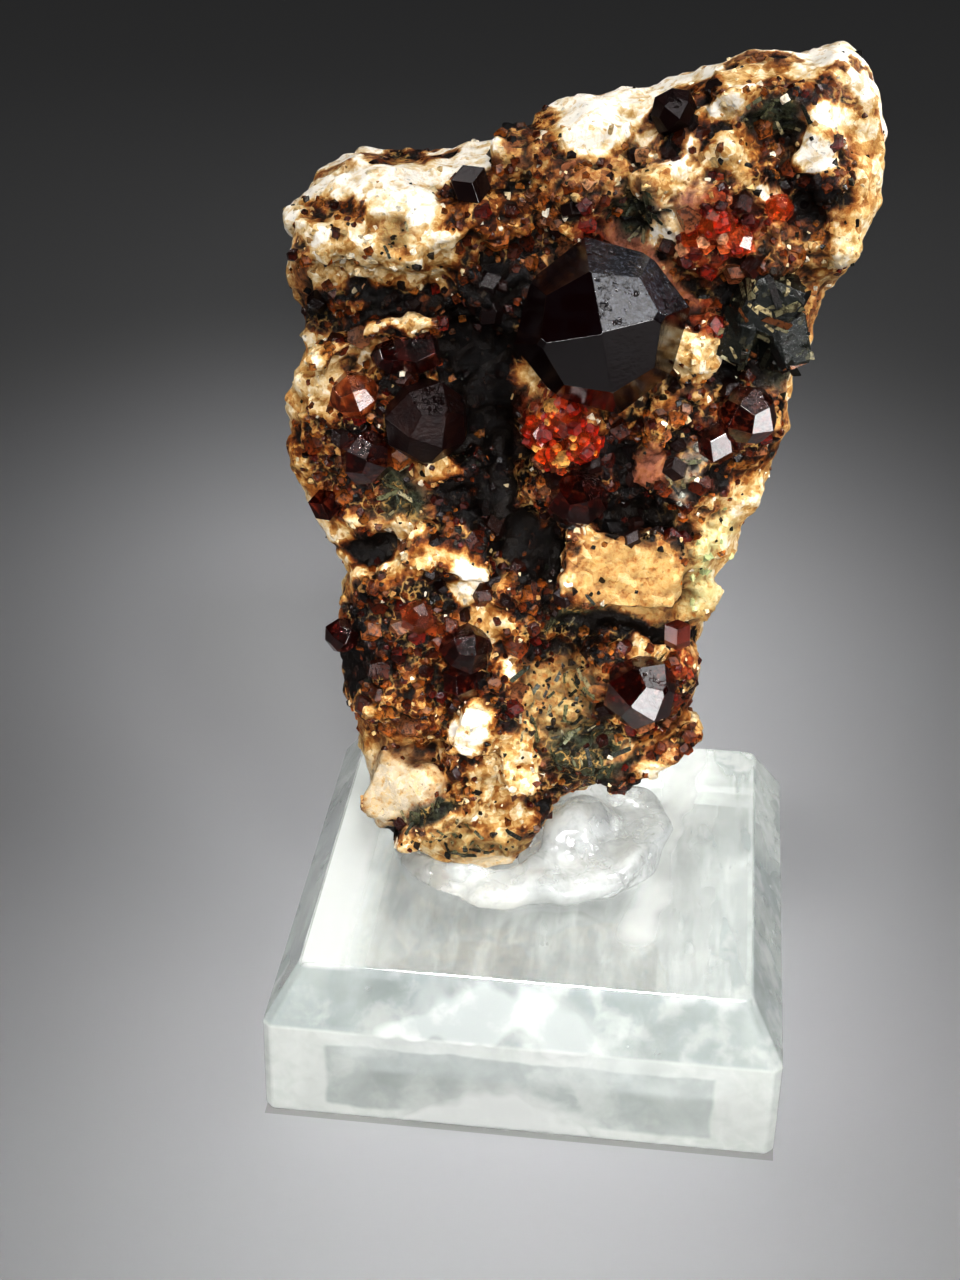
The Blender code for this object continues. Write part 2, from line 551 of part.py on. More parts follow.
def build_crystals(parent, finishes):
    """Every separate crystal, and the collection of sockets that the rock needs for them."""
    sockets = helpers_collection("crystal_sockets")
    for number, (name, crystals) in enumerate(GARNETS.items()):
        parts = [crystal_bmesh(garnet, seed=number * 10 + index)
                 for index, garnet in enumerate(crystals)]
        joined(name, parts, finishes[name], parent)
        for index, garnet in enumerate(crystals):
            socket = crystal_bmesh(garnet, grow=GAP, seed=number * 10 + index)
            as_helper(object_from(socket, f"{name}_socket_{index}", parent=parent), sockets)
    dark = [slab_bmesh(slab, seed=70 + index, cut_edges=DARK_EDGE_CUT)
            for index, slab in enumerate(DARK_CRYSTALS)]
    joined("dark_crystals_right", dark, finishes["dark_crystals_right"], parent)
    for index, slab in enumerate(DARK_CRYSTALS):
        socket = slab_bmesh(slab, seed=70 + index, grow=GAP)
        as_helper(object_from(socket, f"dark_socket_{index}", parent=parent), sockets)
    return sockets


# --- the glue -----------------------------------------------------------------------------
def glue_bead(bm):
    """The thick bead: a tube along its route, as a row of overlapping balls."""
    for start, end in zip(BEAD_ROUTE, BEAD_ROUTE[1:]):
        for step in range(4):
            spot = Vector(start).lerp(Vector(end), step / 4)
            ball = bmesh.ops.create_icosphere(bm, subdivisions=2, radius=BEAD_RADIUS)["verts"]
            bmesh.ops.translate(bm, vec=spot, verts=ball)


def build_glue(finish, rock, lean):
    """The glue: lumps and a bead fused and smoothed, flat below, parted from the rock."""
    rng = random.Random(5)
    bm = bmesh.new()
    for lump in GLUE_LUMPS.values():
        add_lump(bm, lump, rng, unevenness=0.03)
    glue_bead(bm)
    glue = object_from(bm, "adhesive_mount", finish)
    add_modifier(glue, "REMESH", mode="VOXEL", voxel_size=0.45 * MM)
    add_modifier(glue, "SMOOTH", factor=0.5, iterations=8)
    smooth = evaluated(glue)
    glue.modifiers.clear()
    cut = bmesh.ops.bisect_plane(
        smooth, geom=smooth.verts[:] + smooth.edges[:] + smooth.faces[:],
        plane_co=(0, 0, BLOCK_HEIGHT + GAP), plane_no=(0, 0, -1), clear_outer=True)
    rim = [item for item in cut["geom_cut"] if isinstance(item, bmesh.types.BMEdge)]
    bmesh.ops.holes_fill(smooth, edges=rim, sides=0)
    replace_mesh(glue, smooth)
    add_modifier(glue, "BOOLEAN", operation="DIFFERENCE", solver="EXACT",
                 object=foot_cutter(rock, lean))
    parted = evaluated(glue)
    glue.modifiers.clear()
    keep_largest_body(parted)
    bmesh.ops.triangulate(parted, faces=parted.faces)
    ratio = GLUE_TRIANGLES / len(parted.faces)
    replace_mesh(glue, parted)
    add_modifier(glue, "DECIMATE", decimate_type="COLLAPSE", ratio=ratio,
                 use_collapse_triangulate=True)
    return glue


def foot_cutter(rock, lean):
    """The rock's foot, a gap larger all round, for parting the glue from it."""
    foot = evaluated(rock)
    bmesh.ops.bisect_plane(foot, geom=foot.verts[:] + foot.edges[:] + foot.faces[:],
                           plane_co=(0, 0, 14.0), plane_no=(0, 0, 1), clear_outer=True)
    bmesh.ops.holes_fill(foot, edges=[edge for edge in foot.edges if edge.is_boundary], sides=0)
    bmesh.ops.triangulate(foot, faces=foot.faces)
    cutter = object_from(foot, "foot_cutter", parent=lean)
    add_modifier(cutter, "REMESH", mode="VOXEL", voxel_size=0.4 * MM)
    add_modifier(cutter, "DISPLACE", strength=(GAP + 0.25) * MM, mid_level=0.0)
    add_modifier(cutter, "REMESH", mode="VOXEL", voxel_size=0.4 * MM)
    cutter.hide_render = True
    cutter.display_type = "WIRE"
    return cutter


# --- everything ---------------------------------------------------------------------------
def finishes():
    """A finish for each piece, by node name."""
    deep_red = material("deep_red_garnet", (0.10, 0.012, 0.010), 0.10)
    main_red = material("main_garnet", (0.06, 0.012, 0.014), 0.12)
    orange_red = material("orange_red_garnet", (0.42, 0.06, 0.015), 0.12)
    brown = material("brown_garnet", (0.25, 0.09, 0.03), 0.15)
    by_name = {name: deep_red for name in GARNETS}
    by_name["garnet_main"] = main_red
    for name in ("garnet_glowing_cluster", "garnet_upper_right", "garnet_rim"):
        by_name[name] = orange_red
    for name in ("garnet_left_bright", "garnet_brown", "garnet_right_small"):
        by_name[name] = brown
    by_name["dark_crystals_right"] = material("dark_crystal", (0.03, 0.04, 0.03), 0.3)
    by_name["matrix_rock"] = material("rock", (0.45, 0.30, 0.16), 0.75)
    by_name["adhesive_mount"] = material("glue", (0.85, 0.86, 0.86), 0.2)
    by_name["display_base"] = material("clear_block", (0.90, 0.95, 0.93), 0.05)
    return by_name


def main():
    """Clear the scene and build the block, the leaning specimen and the glue."""
    for old in list(bpy.data.objects):
        bpy.data.objects.remove(old)
    by_name = finishes()
    build_block(by_name["display_base"])
    lean = bpy.data.objects.new("specimen", None)
    lean.location = [value * MM for value in FOOT]
    lean.rotation_euler = (-math.radians(LEAN_BACK), 0.0, 0.0)
    bpy.context.scene.collection.objects.link(lean)
    sockets = build_crystals(lean, by_name)
    crystals = [garnet for group in GARNETS.values() for garnet in group]
    rock = build_rock(by_name["matrix_rock"], lean, sockets, crystals)
    build_glue(by_name["adhesive_mount"], rock, lean)


main()
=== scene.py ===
"""Garnet in matrix on a clear display block: the looks of every piece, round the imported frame.

Lengths are millimetres unless a name ends in _M. The rock is worked on in the specimen's own
frame: x across, y into the rock, z up from its foot; LEAN takes that frame to the world.
"""
import json
import logging
import math
import random
from dataclasses import dataclass, field
from enum import Enum
from typing import Iterable, Sequence

import bmesh
import bpy
import numpy as np
from mathutils import Euler, Matrix, Vector, noise
from mathutils.bvhtree import BVHTree

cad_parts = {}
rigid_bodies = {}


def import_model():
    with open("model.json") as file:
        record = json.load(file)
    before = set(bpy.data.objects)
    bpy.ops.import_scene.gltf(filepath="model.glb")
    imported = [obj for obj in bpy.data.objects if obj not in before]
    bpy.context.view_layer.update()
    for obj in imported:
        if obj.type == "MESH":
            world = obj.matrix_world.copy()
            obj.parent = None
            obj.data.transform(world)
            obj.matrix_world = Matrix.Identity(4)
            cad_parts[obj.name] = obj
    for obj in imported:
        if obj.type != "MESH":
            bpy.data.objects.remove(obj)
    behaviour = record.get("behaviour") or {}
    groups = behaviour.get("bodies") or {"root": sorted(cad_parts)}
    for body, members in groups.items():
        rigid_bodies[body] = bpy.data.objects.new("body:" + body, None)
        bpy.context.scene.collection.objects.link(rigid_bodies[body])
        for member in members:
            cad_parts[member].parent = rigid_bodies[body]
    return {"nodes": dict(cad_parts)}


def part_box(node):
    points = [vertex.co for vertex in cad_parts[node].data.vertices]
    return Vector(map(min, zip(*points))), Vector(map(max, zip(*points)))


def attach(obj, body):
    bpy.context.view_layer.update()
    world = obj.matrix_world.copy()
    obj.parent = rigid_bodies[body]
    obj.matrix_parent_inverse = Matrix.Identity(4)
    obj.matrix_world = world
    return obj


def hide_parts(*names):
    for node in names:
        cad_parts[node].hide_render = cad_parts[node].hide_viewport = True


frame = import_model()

LOG = logging.getLogger("garnet_in_matrix")
MM = 0.001
FOOT = Vector((-4.0, -1.0, 12.7))
LEAN_BACK = 8.0
LEAN = (Matrix.Scale(MM, 4) @ Matrix.Translation(FOOT)
        @ Matrix.Rotation(-math.radians(LEAN_BACK), 4, "X"))
UPRIGHT = LEAN.inverted()
SIGHT_SLOPE = (0.097, 0.41)     # how far a point shifts on the face plan for each mm of depth
FACE_PLANE = -7.0               # depth of the plane on which the mineral plan is laid out

Colour = tuple[float, float, float]


# --- shader helpers -----------------------------------------------------------------------
class Socket:
    """A shader socket that can be used in Python arithmetic."""

    def __init__(self, nodes: "Nodes", end: bpy.types.NodeSocket) -> None:
        """Wrap an output socket of a material's nodes."""
        self.nodes = nodes
        self.end = end

    def math(self, operation: str, *others: "Socket | float") -> "Socket":
        """Add a Math node that works on this socket and the others.

        Args:
            operation: Blender's name of the operation.
            others: the further operands.

        Returns:
            The node's result.
        """
        return self.nodes.calculate(operation, self, *others)

    def __add__(self, other: "Socket | float") -> "Socket":
        """This plus other."""
        return self.math("ADD", other)

    __radd__ = __add__

    def __sub__(self, other: "Socket | float") -> "Socket":
        """This minus other."""
        return self.math("SUBTRACT", other)

    def __rsub__(self, other: float) -> "Socket":
        """Other minus this."""
        return self.nodes.calculate("SUBTRACT", other, self)

    def __mul__(self, other: "Socket | float") -> "Socket":
        """This times other."""
        return self.math("MULTIPLY", other)

    __rmul__ = __mul__

    def step(self, low: float, high: float) -> "Socket":
        """This, eased from 0 at low to 1 at high."""
        ease = self.nodes.node("ShaderNodeMapRange", {"interpolation_type": "SMOOTHSTEP"},
                               {"Value": self, "From Min": low, "From Max": high})
        return Socket(self.nodes, ease.outputs["Result"])


class Nodes:
    """The node tree of one material."""

    def __init__(self, name: str) -> None:
        """Make an empty material with an output node."""
        self.material = bpy.data.materials.new(name)
        self.material.use_nodes = True
        self.tree = self.material.node_tree
        self.tree.nodes.clear()
        self.output = self.tree.nodes.new("ShaderNodeOutputMaterial")

    def node(self, kind: str, settings: dict | None = None,
             inputs: dict | None = None) -> bpy.types.Node:
        """Add any node.

        Args:
            kind: Blender's node type.
            settings: attributes to set first; "stops" fills a colour ramp.
            inputs: socket name or number to a value or a Socket.

        Returns:
            The new node.
        """
        made = self.tree.nodes.new(kind)
        for name, value in (settings or {}).items():
            if name == "stops":
                ramp = made.color_ramp
                while len(ramp.elements) < len(value):
                    ramp.elements.new(1.0)
                for element, (position, colour) in zip(ramp.elements, value):
                    element.position = position
                    element.color = (*colour, 1.0)
            else:
                setattr(made, name, value)
        for name, value in (inputs or {}).items():
            if isinstance(value, Socket):
                self.tree.links.new(value.end, made.inputs[name])
            elif isinstance(value, tuple) and made.inputs[name].type == "RGBA":
                made.inputs[name].default_value = (*value, 1.0)
            else:
                made.inputs[name].default_value = value
        return made

    def calculate(self, operation: str, *operands: "Socket | float") -> Socket:
        """Add a Math node on the operands and return its result."""
        made = self.node("ShaderNodeMath", {"operation": operation}, dict(enumerate(operands)))
        return Socket(self, made.outputs["Value"])

    def place(self) -> Socket:
        """Object coordinates in millimetres."""
        where = self.node("ShaderNodeTexCoord")
        scaled = self.node("ShaderNodeVectorMath", {"operation": "SCALE"},
                           {0: Socket(self, where.outputs["Object"]), "Scale": 1 / MM})
        return Socket(self, scaled.outputs["Vector"])

    def noise(self, at: Socket, per_mm: float, detail: float = 3.0,
              rough: float = 0.55) -> Socket:
        """Cloudy noise from 0 to 1, with per_mm features to the millimetre."""
        made = self.node("ShaderNodeTexNoise", {}, {"Vector": at, "Scale": per_mm,
                                                    "Detail": detail, "Roughness": rough})
        return Socket(self, made.outputs["Fac"])

    def cells(self, at: Socket, per_mm: float, feature: str = "F1",
              output: str = "Distance") -> Socket:
        """Cell noise: the distance to a cell's centre or edge, or its own colour."""
        made = self.node("ShaderNodeTexVoronoi", {"feature": feature},
                         {"Vector": at, "Scale": per_mm})
        return Socket(self, made.outputs[output])

    def warped(self, at: Socket, per_mm: float, reach: float) -> Socket:
        """Object coordinates pushed about by up to reach millimetres."""
        cloud = self.node("ShaderNodeTexNoise", {}, {"Vector": at, "Scale": per_mm,
                                                     "Detail": 2.0})
        centred = self.node("ShaderNodeVectorMath", {"operation": "SUBTRACT"},
                            {0: Socket(self, cloud.outputs["Color"]), 1: (0.5, 0.5, 0.5)})
        moved = self.node("ShaderNodeVectorMath", {"operation": "MULTIPLY_ADD"},
                          {0: Socket(self, centred.outputs["Vector"]), 1: (2 * reach,) * 3,
                           2: at})
        return Socket(self, moved.outputs["Vector"])

    def chance(self, at: Socket, per_mm: float) -> Socket:
        """One random number from 0 to 1 for each cell of a cell pattern."""
        parted = self.node("ShaderNodeSeparateColor", {},
                           {"Color": self.cells(at, per_mm, "F1", "Color")})
        return Socket(self, parted.outputs["Red"])

    def ramp(self, value: Socket, stops: Sequence[tuple[float, Colour]]) -> Socket:
        """The colour that a ramp of stops gives for a value."""
        made = self.node("ShaderNodeValToRGB", {"stops": stops}, {"Fac": value})
        return Socket(self, made.outputs["Color"])

    def attribute(self, name: str, output: str = "Fac") -> Socket:
        """A value or colour kept on the mesh."""
        made = self.node("ShaderNodeAttribute", {"attribute_name": name})
        return Socket(self, made.outputs[output])

    def mix(self, first: "Socket | Colour", second: "Socket | Colour",
            share: "Socket | float", blend: str = "MIX") -> Socket:
        """Two colours mixed; share is how much of the second."""
        made = self.node("ShaderNodeMix", {"data_type": "RGBA", "blend_type": blend},
                         {0: share})
        for number, colour in ((6, first), (7, second)):
            if isinstance(colour, Socket):
                self.tree.links.new(colour.end, made.inputs[number])
            else:
                made.inputs[number].default_value = (*colour, 1.0)
        return Socket(self, made.outputs[2])

    def bump(self, height: Socket, distance: float, strength: float = 1.0) -> Socket:
        """A normal tilted by height, whose full range stands distance millimetres proud."""
        made = self.node("ShaderNodeBump", {}, {"Height": height, "Distance": distance * MM,
                                                "Strength": strength})
        return Socket(self, made.outputs["Normal"])

    def principled(self, inputs: dict) -> Socket:
        """A Principled shader with these inputs."""
        made = self.node("ShaderNodeBsdfPrincipled", {}, inputs)
        return Socket(self, made.outputs["BSDF"])

    def finish(self, shader: Socket) -> bpy.types.Material:
        """Take a shader as the surface and return the material."""
        self.tree.links.new(shader.end, self.output.inputs["Surface"])
        return self.material

    def surface(self, inputs: dict) -> bpy.types.Material:
        """Finish with one Principled shader and return the material."""
        return self.finish(self.principled(inputs))

    def blend(self, first: Socket, second: Socket, share: Socket) -> bpy.types.Material:
        """Finish with two shaders mixed; share is how much of the second."""
        made = self.node("ShaderNodeMixShader", {}, {0: share, 1: first, 2: second})
        return self.finish(Socket(self, made.outputs["Shader"]))

    def parts(self, at: Socket) -> tuple[Socket, Socket, Socket]:
        """The three parts of a place."""
        made = self.node("ShaderNodeSeparateXYZ", {}, {"Vector": at})
        return tuple(Socket(self, made.outputs[axis]) for axis in "XYZ")


# --- minerals -----------------------------------------------------------------------------
class Mineral(Enum):
    """What a stretch of the rock is made of; the value is its own colour."""

    CRUST = (0.085, 0.030, 0.013)
    WHITE = (0.80, 0.75, 0.66)
    CREAM = (0.66, 0.50, 0.27)
    BEIGE = (0.50, 0.42, 0.31)
    OCHRE = (0.42, 0.30, 0.135)
    OLIVE = (0.30, 0.27, 0.14)
    PINK = (0.38, 0.165, 0.11)
    TAN = (0.36, 0.20, 0.11)
    RUST = (0.33, 0.13, 0.035)
    RED = (0.34, 0.055, 0.018)
    BLACK = (0.012, 0.008, 0.007)
    GREEN = (0.062, 0.070, 0.040)
    PALE = (0.50, 0.52, 0.28)
    SILVER = (0.26, 0.26, 0.22)
    CRYSTAL = (0.02, 0.02, 0.02)


@dataclass(frozen=True)
class Patch:
    """A stretch of one mineral on the face plan: centre, half widths and turn in degrees."""

    mineral: Mineral
    at: tuple[float, float]
    half: tuple[float, float]
    turn: float = 0.0


FACE_PATCHES: dict[str, Patch] = {
    "lobe_cream": Patch(Mineral.CREAM, (-9, 49), (7, 3), 4),
    "lobe_top_rim": Patch(Mineral.WHITE, (-8.5, 54.5), (6, 1.5), 8),
    "lobe_top_rim_end": Patch(Mineral.WHITE, (-3, 56), (2.5, 1), 10),
    "lobe_white": Patch(Mineral.WHITE, (-6.5, 51.5), (3.5, 2), -15),
    "lobe_white_left": Patch(Mineral.WHITE, (-12.5, 53), (2, 1)),
    "lobe_spot_left": Patch(Mineral.RUST, (-12.5, 51.5), (1, 1)),
    "lobe_spot": Patch(Mineral.RUST, (-10.5, 51.5), (1, 1)),
    "lobe_plate": Patch(Mineral.WHITE, (-13, 49), (1, 1)),
    "lobe_green": Patch(Mineral.OLIVE, (-7.5, 49.5), (1.5, 1)),
    "lobe_rust": Patch(Mineral.RUST, (-1.5, 50.5), (3, 1.5)),
    "lobe_edge": Patch(Mineral.TAN, (-14.5, 47.5), (1, 2.5)),
    "lobe_outer": Patch(Mineral.WHITE, (-15.5, 51), (1.5, 2.5)),
    "recess": Patch(Mineral.BLACK, (-8, 45), (7, 1.5), 2),
    "recess_rust": Patch(Mineral.RUST, (-11, 44.5), (2, 0.75)),
    "recess_spot": Patch(Mineral.RUST, (-5.5, 45.5), (1, 0.75)),
    "top_brown": Patch(Mineral.RUST, (1, 53), (3.5, 2.5), 10),
    "top_brown_low": Patch(Mineral.RUST, (2, 51), (3.5, 1), 5),
    "ledge": Patch(Mineral.TAN, (0.5, 56), (1.5, 1.5)),
    "crown_white": Patch(Mineral.WHITE, (5.5, 58.5), (3.5, 2.5), 10),
    "crown_speckle": Patch(Mineral.TAN, (6, 54.5), (4, 1.5), 8),
    "crown_dark": Patch(Mineral.BLACK, (10.5, 59.5), (1.5, 1.5)),
    "crown_plate": Patch(Mineral.WHITE, (14, 59.5), (1.5, 1)),
    "crown_pale": Patch(Mineral.WHITE, (14.5, 61.5), (1, 1)),
    "crown_green": Patch(Mineral.GREEN, (17, 59), (2, 1.5)),
    "honeycomb": Patch(Mineral.CREAM, (14.5, 56.5), (2.5, 1.5)),
    "honeycomb_right": Patch(Mineral.RUST, (17, 57), (1.5, 1.5)),
    "white_triangle": Patch(Mineral.WHITE, (20, 57), (1.5, 1.5), 20),
    "rim_white": Patch(Mineral.WHITE, (21, 59.5), (2, 1)),
    "crown_edge": Patch(Mineral.CREAM, (16.5, 63), (4.5, 1), 4),
    "crown_rust": Patch(Mineral.RUST, (18.5, 62), (1.5, 0.75)),
    "crown_garnets": Patch(Mineral.CRUST, (11.5, 62), (1.5, 0.75)),
    "red_field": Patch(Mineral.RED, (14, 51.5), (3, 3)),
    "cream_crystal": Patch(Mineral.CREAM, (10, 54), (1.5, 1)),
    "green_wedge": Patch(Mineral.GREEN, (8.5, 52.5), (1.5, 1.5), -30),
    "red_streak": Patch(Mineral.RED, (6, 51), (2, 1), -25),
    "pink_band": Patch(Mineral.PINK, (9.5, 49.5), (4.5, 0.75), -42),
    "brown_field": Patch(Mineral.TAN, (19, 50), (2.5, 2.5)),
    "rim_dark": Patch(Mineral.BLACK, (20.5, 54.5), (1.5, 1.5)),
    "rim_top": Patch(Mineral.CREAM, (24, 57.5), (1.5, 4)),
    "rim_upper": Patch(Mineral.CREAM, (23, 52), (1.5, 3), -20),
    "rim_middle": Patch(Mineral.TAN, (21.5, 47), (1, 2.5), -25),
    "dark_right": Patch(Mineral.BLACK, (17.5, 45), (3, 4)),
    "dark_right_green": Patch(Mineral.GREEN, (19, 44.5), (1.5, 3)),
    "wedge": Patch(Mineral.CREAM, (13, 42.5), (1.5, 2)),
    "wedge_red": Patch(Mineral.RED, (13.5, 46), (1, 1.5)),
    "wedge_foot": Patch(Mineral.TAN, (12.5, 40.5), (2.5, 0.75)),
    "over_main": Patch(Mineral.BLACK, (-0.5, 47.5), (2, 1.5)),
    "left_of_main": Patch(Mineral.BLACK, (-2, 43.5), (3.5, 3)),
    "ridge": Patch(Mineral.CREAM, (-11, 42), (4, 0.5), 20),
    "ridge_end": Patch(Mineral.CREAM, (-6.5, 43.5), (2, 0.5), 5),
    "left_slab": Patch(Mineral.CREAM, (-14, 39), (2, 3.5)),
    "left_rust": Patch(Mineral.RUST, (-14, 34.5), (2, 2.5)),
    "left_garnets": Patch(Mineral.CRUST, (-9.5, 35.5), (2.5, 3.5)),
    "cavity": Patch(Mineral.BLACK, (-2.5, 37.5), (4.5, 5)),
    "cavity_spot": Patch(Mineral.CREAM, (-4.5, 40.5), (0.75, 0.5)),
    "cavity_spot_low": Patch(Mineral.TAN, (-4, 36), (0.75, 1)),
    "glow": Patch(Mineral.RED, (4, 37.5), (3, 3)),
    "right_of_glow": Patch(Mineral.RUST, (8.5, 38), (2.5, 1.5)),
    "pink_chip": Patch(Mineral.PINK, (10, 35), (1.5, 1.5)),
    "right_crust": Patch(Mineral.CRUST, (13, 38), (3, 2)),
    "right_reds": Patch(Mineral.CRUST, (16.5, 38), (2.5, 3)),
    "rim_low": Patch(Mineral.TAN, (20, 36.5), (0.75, 3.5), -5),
    "silver": Patch(Mineral.SILVER, (13, 34.5), (1, 2.5), -10),
    "under_glow_left": Patch(Mineral.BLACK, (7.5, 35.5), (2, 1.5)),
    "olive": Patch(Mineral.GREEN, (-7, 31), (2, 2.5)),
    "yellow_plate": Patch(Mineral.CREAM, (-4.5, 33.5), (2, 1), 15),
    "left_reds": Patch(Mineral.CRUST, (-11, 31.5), (2.5, 2)),
    "middle_black": Patch(Mineral.BLACK, (-1.5, 31.5), (3, 2)),
    "middle_black_low": Patch(Mineral.BLACK, (2, 29), (3, 2)),
    "under_glow": Patch(Mineral.BLACK, (8.5, 31.5), (4, 1.5)),
    "right_tan": Patch(Mineral.TAN, (13.5, 31), (1, 1)),
    "pale_green": Patch(Mineral.PALE, (15.5, 28), (2, 4), -10),
    "rim_line": Patch(Mineral.CREAM, (17, 28.5), (1, 3.5), -22),
    "notch": Patch(Mineral.BLACK, (-9.5, 27.5), (2.5, 1)),
    "notch_tan": Patch(Mineral.CREAM, (-6.5, 29), (2, 1)),
    "plate_white": Patch(Mineral.CREAM, (-4, 27), (2.5, 1), 10),
    "plate_white_end": Patch(Mineral.WHITE, (-2, 25.5), (1, 1.5)),
    "plate_rust": Patch(Mineral.RUST, (-5, 25.5), (1.5, 0.75)),
    "ochre_plate": Patch(Mineral.OCHRE, (9.5, 26.5), (4.5, 3)),
    "left_of_plate": Patch(Mineral.BLACK, (2.5, 27.5), (2, 2)),
    "left_of_plate_low": Patch(Mineral.CRUST, (2.5, 24), (2.5, 1.5)),
    "lower_left": Patch(Mineral.CRUST, (-7, 21.5), (4.5, 3.5)),
    "vein_top": Patch(Mineral.CREAM, (-2, 24), (2, 0.5), -35),
    "vein": Patch(Mineral.CREAM, (0, 21), (0.5, 2.5), 15),
    "vein_white": Patch(Mineral.WHITE, (1.5, 19.5), (0.5, 1.5)),
    "left_dark": Patch(Mineral.BLACK, (-10.5, 18.5), (1.5, 3.5)),
    "amber": Patch(Mineral.RUST, (-6.5, 14), (3.5, 3)),
    "low_white": Patch(Mineral.WHITE, (-1.5, 13.5), (1.5, 2.5), -20),
    "low_cream_right": Patch(Mineral.CREAM, (1, 12), (1, 2.5)),
    "low_rust": Patch(Mineral.RUST, (-2.5, 9), (1.5, 2.5)),
    "low_cream": Patch(Mineral.CREAM, (1, 9), (1.5, 1.5)),
    "foot_face": Patch(Mineral.BEIGE, (-7, 8), (3.5, 3.5)),
    "foot_bar": Patch(Mineral.GREEN, (-4.5, 6.5), (2.5, 1), 24),
    "foot_red": Patch(Mineral.BLACK, (-7, 4.5), (1, 0.75), 20),
    "tip": Patch(Mineral.OLIVE, (0, 4), (4, 1.5)),
    "tip_low": Patch(Mineral.BEIGE, (0.5, 1.5), (3.5, 1.5)),
    "tip_cream": Patch(Mineral.CREAM, (1.5, 6.5), (2.5, 1.5)),
    "speckled": Patch(Mineral.OLIVE, (5, 16.5), (3, 4)),
    "speckled_top": Patch(Mineral.CRUST, (3.5, 21), (2.5, 1.5)),
    "fibres": Patch(Mineral.GREEN, (5.5, 23), (2, 1), 30),
    "dark_band": Patch(Mineral.BLACK, (9.5, 23), (4.5, 0.75)),
    "yellow_spot": Patch(Mineral.CREAM, (11.5, 21), (1.5, 1)),
    "low_green": Patch(Mineral.GREEN, (7.5, 12.5), (3.5, 2.5), 15),
    "edge_line": Patch(Mineral.CREAM, (12, 14), (3.5, 0.5), 32),
    "lower_right": Patch(Mineral.CRUST, (11, 17), (3.5, 3)),
    "orange_spot": Patch(Mineral.RED, (14, 20.5), (1, 1)),
}
MINERALS = list(Mineral)
TONES = {Mineral.BLACK: 0.0, Mineral.CRUST: 0.27, Mineral.RED: 0.42, Mineral.GREEN: 0.26,
         Mineral.RUST: 0.52, Mineral.TAN: 0.60, Mineral.SILVER: 0.60, Mineral.PALE: 0.82,
         Mineral.CREAM: 0.83, Mineral.BEIGE: 0.86, Mineral.OCHRE: 0.73, Mineral.WHITE: 1.01,
         Mineral.OLIVE: 0.66, Mineral.PINK: 0.56}
TINTS = {Mineral.RED: 0.75, Mineral.GREEN: 0.95, Mineral.TAN: 0.35, Mineral.SILVER: 0.75,
         Mineral.PALE: 0.65, Mineral.BEIGE: 0.80, Mineral.OCHRE: 0.65,
         Mineral.OLIVE: 0.50, Mineral.PINK: 0.75}
PALE_MINERALS = (Mineral.WHITE, Mineral.CREAM, Mineral.BEIGE, Mineral.OCHRE, Mineral.OLIVE,
                 Mineral.PINK, Mineral.PALE)
BARE_MINERALS = (Mineral.WHITE, Mineral.CREAM, Mineral.BEIGE, Mineral.OCHRE, Mineral.PALE)
EVEN_MINERALS = {Mineral.BEIGE: 0.95, Mineral.OCHRE: 0.60, Mineral.WHITE: 0.70,
                 Mineral.PINK: 0.6, Mineral.CREAM: 0.4, Mineral.PALE: 0.5}


